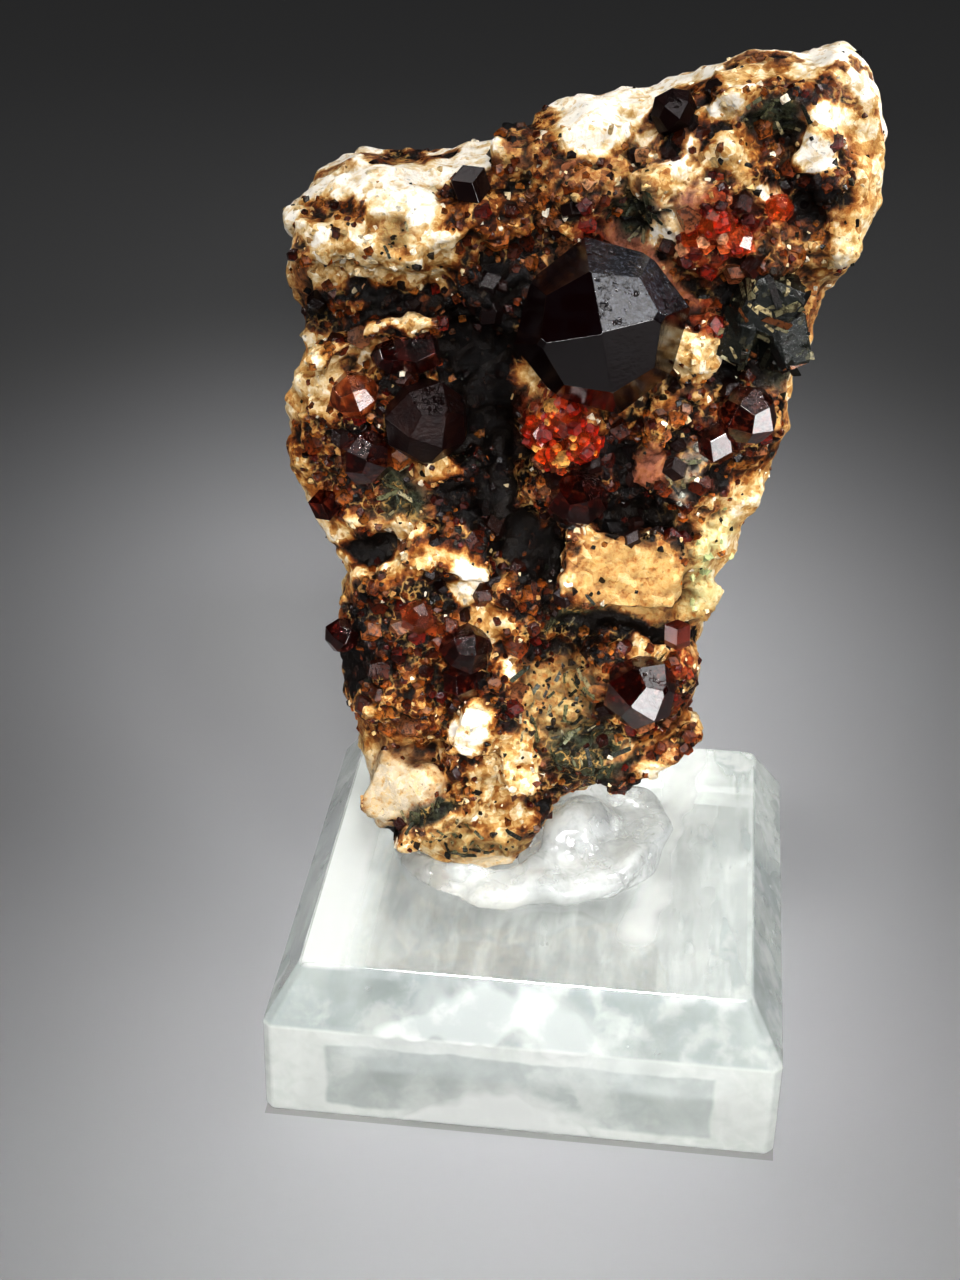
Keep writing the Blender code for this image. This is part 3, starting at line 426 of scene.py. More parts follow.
class MineralPlan:
    """Which mineral stands where, on the face and round the back."""

    edge = 0.28                     # how soft a patch's edge is, as a share of its half width
    wander = 0.9                    # how far noise pushes an edge about, mm

    def weights(self, points: np.ndarray) -> np.ndarray:
        """How much of each mineral there is at each point.

        Args:
            points: places in the specimen frame, one row each.

        Returns:
            One row for each point and one column for each mineral; rows add up to 1.
        """
        drift = np.array([[noise.noise(Vector(p) * 0.55 + Vector((9, 2, 4))),
                           noise.noise(Vector(p) * 0.55 + Vector((1, 7, 5)))] for p in points])
        plan = np.stack([points[:, 0], points[:, 2]], 1)
        plan += np.outer(points[:, 1] - FACE_PLANE, SIGHT_SLOPE) + drift * self.wander
        left = np.ones(len(points))
        found = np.zeros((len(points), len(MINERALS)))
        behind = np.clip((points[:, 1] + 2.5) / 3.0, 0.0, 1.0)
        for patch in reversed(FACE_PATCHES.values()):
            share = self.inside(patch, plan) * left * (1.0 - behind)
            found[:, MINERALS.index(patch.mineral)] += share
            left -= share
        self.fill_rest(points, left, found)
        return found

    def inside(self, patch: Patch, plan: np.ndarray) -> np.ndarray:
        """How far each point of the plan is inside a patch, from 0 to 1."""
        angle = math.radians(patch.turn)
        away = plan - np.array(patch.at)
        along = away[:, 0] * math.cos(angle) + away[:, 1] * math.sin(angle)
        across = away[:, 1] * math.cos(angle) - away[:, 0] * math.sin(angle)
        reach = np.hypot(along / patch.half[0], across / patch.half[1])
        return np.clip((1.0 + self.edge - reach) / (2 * self.edge), 0.0, 1.0)

    def fill_rest(self, points: np.ndarray, left: np.ndarray, found: np.ndarray) -> None:
        """Share out what no patch holds by noise: crust in front, mostly feldspar behind.

        Args:
            points: places in the specimen frame, one row each.
            left: the share of each point that is still free.
            found: the weights of the minerals, which are added to.
        """
        for row, point in enumerate(points):
            if left[row] <= 0.0:
                continue
            tone = noise.noise(Vector(point) * 0.16 + Vector((5, 5, 1)))
            speck = noise.noise(Vector(point) * 0.6 + Vector((2, 8, 3)))
            round_side = min(1.0, max(0.0, (point[1] + 5.0) / 3.0))
            right = min(1.0, max(0.0, (point[0] - 0.3 * point[2] + 4.0) / 6.0))
            value = tone + 0.55 * speck + (0.45 + 0.40 * right) * round_side
            if value > 0.28 and point[2] > 47.0 + 9.0 * speck:
                mineral = Mineral.WHITE
            elif value > 0.30:
                mineral = Mineral.CREAM
            elif value > 0.10:
                mineral = Mineral.TAN
            elif speck < -0.42:
                mineral = Mineral.BLACK
            else:
                mineral = Mineral.CRUST
            found[row, MINERALS.index(mineral)] += left[row]


# --- meshes -------------------------------------------------------------------------------
def solid_copy(node: str, matrix: Matrix) -> bmesh.types.BMesh:
    """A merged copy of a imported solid.

    Args:
        node: the solid's name.
        matrix: from the world's metres to the frame wanted.

    Returns:
        The copy as a bmesh.
    """
    bm = bmesh.new()
    bm.from_mesh(frame["nodes"][node].data)
    bmesh.ops.transform(bm, matrix=matrix, verts=bm.verts)
    bmesh.ops.remove_doubles(bm, verts=bm.verts, dist=0.002)
    return bm


def remeshed(bm: bmesh.types.BMesh, voxel: float) -> bmesh.types.BMesh:
    """The shape fused again on a grid of voxel millimetres; the old bmesh is freed."""
    mesh = bpy.data.meshes.new("remesh_work")
    bm.to_mesh(mesh)
    bm.free()
    holder = bpy.data.objects.new("remesh_work", mesh)
    bpy.context.scene.collection.objects.link(holder)
    modifier = holder.modifiers.new("Remesh", "REMESH")
    modifier.mode = "VOXEL"
    modifier.voxel_size = voxel
    bpy.context.view_layer.update()
    done = holder.evaluated_get(bpy.context.evaluated_depsgraph_get()).to_mesh()
    fresh = bmesh.new()
    fresh.from_mesh(done)
    bpy.data.objects.remove(holder)
    bpy.data.meshes.remove(mesh)
    return fresh


def piece_from(bm: bmesh.types.BMesh, name: str, matrix: Matrix,
               smooth: bool = True) -> bpy.types.Object:
    """Make a bmesh a finished piece that rides on the body.

    Args:
        bm: the shape; it is freed.
        name: the piece's name.
        matrix: from the bmesh's frame to the world's metres.
        smooth: whether its faces are shaded smooth.

    Returns:
        The piece, at the origin and unturned.
    """
    bmesh.ops.transform(bm, matrix=matrix, verts=bm.verts)
    for face in bm.faces:
        face.smooth = smooth
    mesh = bpy.data.meshes.new(name)
    bm.to_mesh(mesh)
    bm.free()
    return piece_of(mesh, name)


def piece_of(mesh: bpy.types.Mesh, name: str) -> bpy.types.Object:
    """An object of a finished mesh, riding on the body."""
    piece = bpy.data.objects.new(name, mesh)
    bpy.context.scene.collection.objects.link(piece)
    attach(piece, "root")
    return piece


def set_floats(mesh: bpy.types.Mesh, name: str, values: np.ndarray) -> None:
    """Keep one number a vertex on the mesh."""
    made = mesh.attributes.new(name, "FLOAT", "POINT")
    made.data.foreach_set("value", np.ascontiguousarray(values, dtype=np.float32))


def set_colours(mesh: bpy.types.Mesh, name: str, values: np.ndarray) -> None:
    """Keep one colour a vertex on the mesh."""
    rows = np.concatenate([values, np.ones((len(values), 1))], 1).astype(np.float32)
    made = mesh.attributes.new(name, "FLOAT_COLOR", "POINT")
    made.data.foreach_set("color", rows.ravel())


def points_of(bm: bmesh.types.BMesh) -> np.ndarray:
    """The bmesh's vertices, one row each."""
    return np.array([tuple(vert.co) for vert in bm.verts])


# --- small grains -------------------------------------------------------------------------
class Habit(Enum):
    """The shapes that small grains take; the value is their half sizes before cutting."""

    GARNET = (1.0, 1.0, 1.0)
    CHIP = (1.0, 0.85, 0.75)
    BLOCK = (1.25, 0.95, 0.7)
    BLADE = (0.34, 0.24, 1.7)


def cut_solid(half: Sequence[float], planes: Iterable[tuple[Vector, float]]
              ) -> bmesh.types.BMesh:
    """A box with its corners cut off.

    Args:
        half: the box's half sizes.
        planes: each cut's outward direction and its distance from the centre.

    Returns:
        The closed solid.
    """
    bm = bmesh.new()
    bmesh.ops.create_cube(bm, size=2.0)
    bmesh.ops.scale(bm, vec=Vector(half), verts=bm.verts)
    for direction, distance in planes:
        unit = direction.normalized()
        parts = bm.verts[:] + bm.edges[:] + bm.faces[:]
        cut = bmesh.ops.bisect_plane(bm, geom=parts, plane_co=unit * distance, plane_no=unit,
                                     clear_outer=True, dist=1e-5)
        rim = [part for part in cut["geom_cut"] if isinstance(part, bmesh.types.BMEdge)]
        if len(rim) > 2:
            bmesh.ops.holes_fill(bm, edges=rim, sides=0)
    bmesh.ops.recalc_face_normals(bm, faces=bm.faces)
    return bm


def grain_template(habit: Habit, draw: random.Random) -> bmesh.types.BMesh:
    """One small grain about one unit in radius.

    Args:
        habit: what shape it takes.
        draw: the seeded chance.

    Returns:
        The grain, with a few dozen faces at most.
    """
    if habit is Habit.GARNET:
        signs = ((a, b) for a in (-1, 1) for b in (-1, 1))
        ways = [Vector(way) for a, b in signs for way in ((a, b, 0), (a, 0, b), (0, a, b))]
        return cut_solid((1.3,) * 3, [(way, draw.uniform(0.84, 1.04)) for way in ways])
    cuts = {Habit.CHIP: 7, Habit.BLOCK: 4, Habit.BLADE: 3}[habit]
    planes = []
    for _ in range(cuts):
        way = Vector([draw.uniform(-1, 1) for _ in range(3)]).normalized()
        reach = sum(abs(part) * half for part, half in zip(way, habit.value))
        planes.append((way, reach * draw.uniform(0.55, 0.8)))
    return cut_solid(habit.value, planes)


@dataclass(frozen=True)
class Crop:
    """One kind of small grain: its shape, its colours and the minerals it grows on."""

    name: str
    slot: str
    habit: Habit
    radius: tuple[float, float]
    tones: tuple[Colour, ...]
    per_mm2: dict[Mineral, float]
    sink: float = 0.5               # how deep the centre lies in the rock, in radii
    spacing: float = 0.75           # least distance between centres, in sums of radii
    lined_up: bool = False          # whether neighbours lie the same way
    rough: float = 0.10
    flawed: float = 0.8
    glow: float = 0.0               # painted light: how much darker the lit side is painted than the glowing far side


PAINTED_GLOW_SIDE = np.array((-0.30, -0.35, 0.89))      # where the light enters a clear grain, for its painted glow


CROPS = (
    Crop("crust_garnets", "red_garnet", Habit.GARNET, (0.26, 0.85),
         ((0.040, 0.006, 0.003), (0.080, 0.014, 0.004), (0.17, 0.036, 0.007),
          (0.016, 0.004, 0.003), (0.12, 0.010, 0.005), (0.30, 0.095, 0.018),
          (0.26, 0.105, 0.045)),
         {Mineral.CRUST: 0.95, Mineral.RUST: 0.35, Mineral.TAN: 0.18, Mineral.BLACK: 0.07},
         glow=0.9),
    Crop("red_field_garnets", "red_garnet", Habit.GARNET, (0.32, 0.85),
         ((0.24, 0.020, 0.008), (0.14, 0.010, 0.005), (0.36, 0.060, 0.014),
          (0.07, 0.007, 0.004), (0.40, 0.14, 0.06)),
         {Mineral.RED: 0.85}, glow=0.8),
    Crop("amber_garnets", "orange_garnet", Habit.GARNET, (0.20, 0.46),
         ((0.26, 0.075, 0.012), (0.17, 0.038, 0.007), (0.38, 0.145, 0.030),
          (0.09, 0.018, 0.005)),
         {Mineral.RUST: 1.6, Mineral.CRUST: 0.9, Mineral.CREAM: 0.12, Mineral.TAN: 0.5,
          Mineral.BLACK: 0.12},
         glow=0.8),
    Crop("dark_garnets", "dark_garnet", Habit.GARNET, (0.30, 0.95),
         ((0.008, 0.004, 0.004), (0.020, 0.006, 0.004), (0.005, 0.004, 0.004),
          (0.045, 0.008, 0.005)),
         {Mineral.BLACK: 0.55, Mineral.CRUST: 0.22, Mineral.GREEN: 0.08}, rough=0.07),
    Crop("feldspar_blocks", "rock", Habit.BLOCK, (0.35, 0.95),
         ((0.80, 0.76, 0.68), (0.72, 0.63, 0.48), (0.85, 0.82, 0.76), (0.62, 0.46, 0.26)),
         {Mineral.WHITE: 0.03, Mineral.CREAM: 0.02}, sink=0.95, lined_up=True, rough=0.6,
         flawed=0.25),
    Crop("feldspar_crumbs", "rock", Habit.CHIP, (0.14, 0.36),
         ((0.62, 0.45, 0.22), (0.70, 0.58, 0.38), (0.46, 0.27, 0.10), (0.78, 0.71, 0.58)),
         {Mineral.CREAM: 0.9, Mineral.WHITE: 0.35, Mineral.CRUST: 0.45, Mineral.TAN: 0.8,
          Mineral.RUST: 0.7, Mineral.RED: 0.3}, sink=0.6, rough=0.4, flawed=0.4),
    Crop("pink_chips", "rock", Habit.CHIP, (0.25, 0.7),
         ((0.26, 0.11, 0.055), (0.18, 0.070, 0.030), (0.38, 0.20, 0.10), (0.10, 0.035, 0.016)),
         {Mineral.TAN: 0.6}, sink=0.5, rough=0.3),
    Crop("green_blades", "dark_crystal", Habit.BLADE, (0.24, 0.5),
         ((0.050, 0.058, 0.034), (0.020, 0.024, 0.016), (0.13, 0.13, 0.07),
          (0.30, 0.26, 0.15)),
         {Mineral.GREEN: 1.7, Mineral.SILVER: 1.0, Mineral.OLIVE: 1.5}, sink=0.1,
         lined_up=True, rough=0.25),
    Crop("silver_chips", "dark_crystal", Habit.CHIP, (0.2, 0.45),
         ((0.36, 0.36, 0.31), (0.22, 0.22, 0.19), (0.50, 0.50, 0.45)),
         {Mineral.SILVER: 1.4}, sink=0.3, rough=0.25),
    Crop("pale_green_crumbs", "rock", Habit.CHIP, (0.15, 0.4),
         ((0.50, 0.52, 0.28), (0.60, 0.60, 0.38), (0.36, 0.40, 0.20)),
         {Mineral.PALE: 1.2}, sink=0.4, rough=0.45, flawed=0.3),
    Crop("black_specks", "dark_crystal", Habit.CHIP, (0.10, 0.30),
         ((0.010, 0.008, 0.006), (0.028, 0.018, 0.010), (0.016, 0.017, 0.011)),
         {Mineral.CREAM: 0.22, Mineral.WHITE: 0.05, Mineral.OLIVE: 1.3, Mineral.CRUST: 0.5,
          Mineral.BLACK: 0.7, Mineral.PALE: 0.3, Mineral.TAN: 0.3, Mineral.OCHRE: 0.12},
         sink=0.2, rough=0.2),
)


GLOWING_CROP = Crop(
    "glowing_grains", "orange_garnet", Habit.GARNET, (0.20, 0.62),
    ((0.62, 0.080, 0.009), (0.74, 0.22, 0.027), (0.80, 0.42, 0.12), (0.40, 0.022, 0.006),
     (0.11, 0.007, 0.003), (0.20, 0.011, 0.004), (0.56, 0.060, 0.010)),
    {Mineral.CRYSTAL: 1.7}, sink=0.25, spacing=0.62, rough=0.08, flawed=0.6, glow=0.8)
RED_CROP = Crop(
    "upper_red_grains", "red_garnet", Habit.GARNET, (0.22, 0.65),
    ((0.44, 0.034, 0.012), (0.56, 0.130, 0.036), (0.26, 0.016, 0.006), (0.12, 0.008, 0.004),
     (0.62, 0.30, 0.16)),
    {Mineral.CRYSTAL: 1.3}, sink=0.25, spacing=0.62, rough=0.08, flawed=0.6, glow=0.8)
SHARD_CROP = Crop(
    "dark_crystal_shards", "dark_crystal", Habit.BLADE, (0.30, 0.75),
    ((0.012, 0.014, 0.010), (0.045, 0.046, 0.030), (0.005, 0.005, 0.004),
     (0.20, 0.18, 0.105), (0.16, 0.060, 0.020), (0.36, 0.30, 0.17)),
    {Mineral.CRYSTAL: 1.0}, sink=0.1, spacing=0.40, lined_up=True, rough=0.10)


@dataclass
class Ground:
    """The rock's skin as arrays, for sowing grains on it."""

    corners: np.ndarray             # triangles, three points each, specimen frame
    normals: np.ndarray             # one a triangle
    minerals: np.ndarray            # weights, one row a triangle
    garnets: BVHTree                # the large crystals, specimen frame

    def __post_init__(self) -> None:
        """Work out each triangle's area."""
        sides = np.cross(self.corners[:, 1] - self.corners[:, 0],
                         self.corners[:, 2] - self.corners[:, 0])
        self.areas = np.linalg.norm(sides, axis=1) / 2.0


def skin_of(bm: bmesh.types.BMesh, weights: np.ndarray, garnets: BVHTree) -> Ground:
    """A shape's skin as arrays for sowing.

    Args:
        bm: the shape in the specimen frame.
        weights: how much of each mineral there is at each vertex.
        garnets: the large crystals, which no grain stands in.

    Returns:
        The skin.
    """
    points = points_of(bm)
    rings = []
    for face in bm.faces:
        ring = [vert.index for vert in face.verts]
        rings += [[ring[0], ring[i], ring[i + 1]] for i in range(1, len(ring) - 1)]
    rings = np.array(rings)
    normals = np.array([tuple(vert.normal) for vert in bm.verts])[rings].mean(axis=1)
    normals /= np.maximum(np.linalg.norm(normals, axis=1, keepdims=True), 1e-9)
    return Ground(points[rings], normals, weights[rings].mean(axis=1), garnets)


@dataclass
class Grains:
    """All the small crystals and crumbs on one skin."""

    ground: Ground
    variants: int = 9
    seed: int = 20
    back_share: float = 0.15        # how thickly the sides and back are sown
    crops: tuple[Crop, ...] = CROPS
    near: dict[tuple[int, int, int], list[tuple[Vector, float]]] = field(default_factory=dict)

    def build(self) -> list[bpy.types.Object]:
        """Sow every crop, the largest grains first, and return the pieces."""
        return [self.sow(number, crop) for number, crop in enumerate(self.crops)]

    def sow(self, number: int, crop: Crop) -> bpy.types.Object:
        """Place one crop and join it into a piece.

        Args:
            number: the crop's place in the list, which seeds its chance.
            crop: what is sown.

        Returns:
            The piece.
        """
        chance = np.random.default_rng(self.seed + number)
        draw = random.Random(self.seed + number)
        rate = np.zeros(len(MINERALS))
        for mineral, density in crop.per_mm2.items():
            rate[MINERALS.index(mineral)] = density
        depth = self.ground.corners[:, :, 1].mean(axis=1)
        share = np.interp(depth, (-5.5, -3.5), (1.0, self.back_share))
        wanted = self.ground.areas * (self.ground.minerals @ rate) * share
        count = chance.poisson(wanted.sum())
        hits = chance.choice(len(wanted), size=count, p=wanted / wanted.sum())
        low, high = crop.radius
        radii = np.sort(low + (high - low) * chance.random(count) ** 2.2)[::-1]
        places, sizes, turns = [], [], []
        for hit, radius in zip(hits, radii):
            u, v = np.sort(chance.random(2))
            a, b, c = self.ground.corners[hit]
            normal = Vector(self.ground.normals[hit])
            spot = Vector(a * u + b * (v - u) + c * (1 - v)) - normal * radius * crop.sink
            turn = self.turn_at(spot, normal, crop, draw)
            if radius > self.most_at(spot, self.ground.minerals[hit]):
                continue
            if self.free(spot, radius, crop.spacing):
                places.append(spot)
                sizes.append(radius)
                turns.append(turn)
        return self.join(crop, places, sizes, turns, chance)

    def turn_at(self, spot: Vector, normal: Vector, crop: Crop,
                draw: random.Random) -> Matrix:
        """How a grain lies: lined up with its neighbours, or any way."""
        if not crop.lined_up:
            return Euler([draw.uniform(0, math.tau) for _ in range(3)]).to_matrix()
        flow = noise.noise_vector(spot * 0.16 + Vector((3, 1, 8)))
        flow += 0.22 * Vector([draw.uniform(-1, 1) for _ in range(3)])
        side = normal.cross(flow).normalized()
        along = side.cross(normal).normalized()
        return Matrix((side, normal, along)).transposed()

    def most_at(self, spot: Vector, minerals: np.ndarray) -> float:
        """The largest radius of a grain here: less on pale rock and at the sides."""
        pale = sum(minerals[MINERALS.index(mineral)] for mineral in BARE_MINERALS)
        side = min(1.0, max(0.0, (spot.y + 5.0) / 2.0))
        return 1.0 - 0.62 * max(min(1.0, pale * 1.6), 0.85 * side)

    def free(self, spot: Vector, radius: float, spacing: float) -> bool:
        """Whether a grain fits here, clear of larger grains and of the large crystals."""
        found = self.ground.garnets.find_nearest(spot, radius * 1.6)
        if found[0] is not None:
            outside = (spot - found[0]).dot(found[1])
            if outside < radius * 0.15:
                return False
        cell = tuple(math.floor(part) for part in spot)
        for i in (-1, 0, 1):
            for j in (-1, 0, 1):
                for k in (-1, 0, 1):
                    for other, size in self.near.get((cell[0] + i, cell[1] + j, cell[2] + k),
                                                     ()):
                        if (other - spot).length < (size + radius) * spacing:
                            return False
        self.near.setdefault(cell, []).append((spot, radius))
        return True

    def join(self, crop: Crop, places: list[Vector], sizes: list[float],
             turns: list[Matrix], chance: np.random.Generator) -> bpy.types.Object:
        """Make one mesh of all a crop's grains.

        Args:
            crop: what is sown.
            places: the grains' centres.
            sizes: their radii.
            turns: how they lie.
            chance: the seeded chance.

        Returns:
            The piece.
        """
        draw = random.Random(crop.name)
        kinds = [grain_template(crop.habit, draw) for _ in range(self.variants)]
        shapes = [points_of(kind) for kind in kinds]
        rings = [[[vert.index for vert in face.verts] for face in kind.faces]
                 for kind in kinds]
        for kind in kinds:
            kind.free()
        points, faces, tones, start = [], [], [], 0
        choice = chance.integers(0, self.variants, len(places))
        tone_of = chance.integers(0, len(crop.tones), len(places))
        shade = chance.uniform(0.72, 1.28, len(places))
        for place, size, turn, kind, tone, light in zip(places, sizes, turns, choice, tone_of,
                                                        shade):
            body = shapes[kind] @ np.array(turn.transposed()) * size
            # painted light: each grain darker where the light enters and glowing on the far side
            down = np.clip(0.5 - body @ PAINTED_GLOW_SIDE / (2.2 * size), 0.0, 1.0)
            glow = 1.0 + crop.glow * (2.2 * down ** 2 - 0.62)
            points.append(body + np.array(place))
            faces += [[start + index for index in ring] for ring in rings[kind]]
            tones.append(np.outer(glow * light, crop.tones[tone]))
            start += len(body)
        mesh = bpy.data.meshes.new(crop.name)
        mesh.from_pydata(np.concatenate(points).tolist(), [], faces)
        mesh.transform(LEAN)
        set_colours(mesh, "tone", np.concatenate(tones))
        finish = GrainFinish(crop.name + "_finish", crop.rough, crop.flawed)
        mesh.materials.append(finish.make())
        LOG.info("%s: %d grains", crop.name, len(places))
        return piece_of(mesh, crop.name)


# --- finishes -----------------------------------------------------------------------------
@dataclass(frozen=True)
class GrainFinish:
    """Small crystals: each grain's own tone, clouded a little, with a glossy skin."""

    name: str
    rough: float
    flawed: float = 0.8             # how strongly the flaws show
    flaw: Colour = (0.012, 0.004, 0.003)
    ior: float = 1.45

    def make(self) -> bpy.types.Material:
        """Make the material."""
        nodes = Nodes(self.name)
        at = nodes.place()
        cloud = nodes.noise(at, 3.6, 4, 0.6)
        tone = nodes.attribute("tone", "Color")
        colour = nodes.mix(tone, self.flaw, cloud.step(0.46, 0.62) * self.flawed)
        grit = nodes.noise(at, 7.0)
        return nodes.surface({
            "Base Color": colour, "Roughness": grit * 0.16 + (self.rough - 0.06),
            "IOR": self.ior,
            "Normal": nodes.bump(grit, 0.06)})


@dataclass(frozen=True)
class RockFinish:
    """The rock: grains from near black through rust and amber to chalky white; painted shade in
    hollows.
    """

    name: str = "matrix_rock_finish"
    grain_tones: tuple[tuple[float, Colour], ...] = (
        (0.00, (0.003, 0.002, 0.002)), (0.16, (0.014, 0.006, 0.004)),
        (0.30, (0.060, 0.015, 0.005)), (0.44, (0.17, 0.048, 0.009)),
        (0.58, (0.34, 0.135, 0.028)), (0.72, (0.55, 0.34, 0.125)),
        (0.86, (0.74, 0.59, 0.36)), (1.00, (0.88, 0.83, 0.75)))
    web: Colour = (0.56, 0.36, 0.13)
    # the black specks' own colour, and also the painted shade in the hollows
    speck_and_hollow_shade: Colour = (0.012, 0.008, 0.006)

    def make(self) -> bpy.types.Material:
        """Make the material."""
        nodes = Nodes(self.name)
        at = nodes.place()
        bent = nodes.warped(at, 1.3, 0.35)
        tone = nodes.attribute("tone")
        crust = nodes.attribute("crust")
        # low: how far the skin lies sunk below its surroundings, painted as shade in hollows
        low = nodes.attribute("low")
        broad = nodes.noise(at, 0.45, 4)
        fine = nodes.noise(at, 2.4, 5, 0.65)
        grit = nodes.noise(at, 8.0, 3, 0.6)
        coarse_grain = nodes.chance(bent, 1.15)
        fine_grain = nodes.chance(bent, 2.7)
        seam = nodes.cells(bent, 1.15, "DISTANCE_TO_EDGE")
        uneven = ((coarse_grain - 0.58) * 0.36 + (fine_grain - 0.5) * 0.20
                  + (fine - 0.5) * 0.70 + (broad - 0.5) * 0.40)
        value = tone + uneven * (0.62 + 0.43 * crust)
        # painted shade: the tone is lowered in the hollows, more in the crust
        colour = nodes.ramp(value - low * (0.16 + 0.18 * crust), self.grain_tones)
        colour = nodes.mix(colour, nodes.attribute("look", "Color"),
                           nodes.attribute("tint") * fine.step(0.25, 0.60))
        web = ((1 - seam.step(0.03, 0.12)) * broad.step(0.46, 0.56) * crust
               * tone.step(0.10, 0.25))
        colour = nodes.mix(colour, self.web, web * fine.step(0.38, 0.52) * 0.75)
        specks = nodes.cells(bent, 2.0).step(0.24, 0.12) * grit.step(0.42, 0.56)
        colour = nodes.mix(colour, self.speck_and_hollow_shade, specks * (0.35 + 0.5 * crust))
        # painted shade in the hollows, darkest between the crust's grains
        colour = nodes.mix(colour, self.speck_and_hollow_shade, low * (0.20 + 0.75 * crust))
        rough = 0.12 + 0.42 * tone + 0.35 * (fine - 0.42)
        height = fine * 0.55 + grit * 0.2 + fine_grain * 0.25 - specks * 0.2
        return nodes.surface({"Base Color": colour, "Roughness": rough, "IOR": 1.30,
                              "Normal": nodes.bump(height, 0.28)})


@dataclass(frozen=True)
class GarnetFinish:
    """A clear or dark garnet with faint growth lines and pits; dust and a painted sheen on its upper
    facets.
    """

    name: str
    body: Colour
    clear: float                    # how much light goes into the crystal
    rough: float = 0.07
    pitted: float = 0.05
    veiled: Colour = (0.02, 0.006, 0.004)
    ior: float = 1.75
    # the film on facets turned to the lights: dust, and a painted sheen
    dust: Colour = (0.010, 0.003, 0.003)

    def make(self) -> bpy.types.Material:
        """Make the material."""
        nodes = Nodes(self.name)
        at = nodes.place()
        veil = nodes.noise(at, 0.7, 4)
        pits = nodes.cells(nodes.warped(at, 1.0, 0.3), 1.3)
        grit = nodes.noise(at, 3.4, 4, 0.6)
        dust_and_sheen = nodes.attribute("dust")
        groove = nodes.noise(nodes.warped(at, 0.9, 0.9), 1.5, 2)
        groove = (groove - 0.5).math("ABSOLUTE").step(0.035, 0.012)
        pit = (1 - pits.step(0.12, 0.34)).math("MAXIMUM", groove)
        pit = pit * nodes.noise(at, 0.6, 2).step(0.47, 0.56) * dust_and_sheen.step(0.1, 0.4)
        colour = nodes.mix(self.body, self.veiled, veil.step(0.42, 0.68) * 0.75)
        # dust and painted sheen on the facets turned up towards the lights
        colour = nodes.mix(colour, self.dust, dust_and_sheen * grit.step(0.25, 0.7) * (1 - pit))
        height = grit * (0.12 + 0.4 * dust_and_sheen) - pit * 1.6
        return nodes.surface({
            "Base Color": colour, "Roughness": pit * 0.2 + (grit * 0.12 + self.rough),
            "IOR": self.ior, "Transmission Weight": self.clear,
            "Normal": nodes.bump(height, self.pitted)})


@dataclass(frozen=True)
class CrystalFinish:
    """Green-black glassy crystals with paler patches."""

    name: str = "dark_crystal_finish"
    deep: Colour = (0.009, 0.011, 0.009)
    worn: Colour = (0.06, 0.056, 0.032)

    def make(self) -> bpy.types.Material:
        """Make the material."""
        nodes = Nodes(self.name)
        at = nodes.place()
        cloud = nodes.noise(at, 0.9, 4)
        grit = nodes.noise(at, 4.5, 4)
        colour = nodes.mix(self.deep, self.worn, cloud.step(0.52, 0.66) * grit.step(0.3, 0.6))
        return nodes.surface({"Base Color": colour, "Roughness": grit * 0.3 + 0.04,
                              "IOR": 1.65, "Normal": nodes.bump(grit, 0.12)})


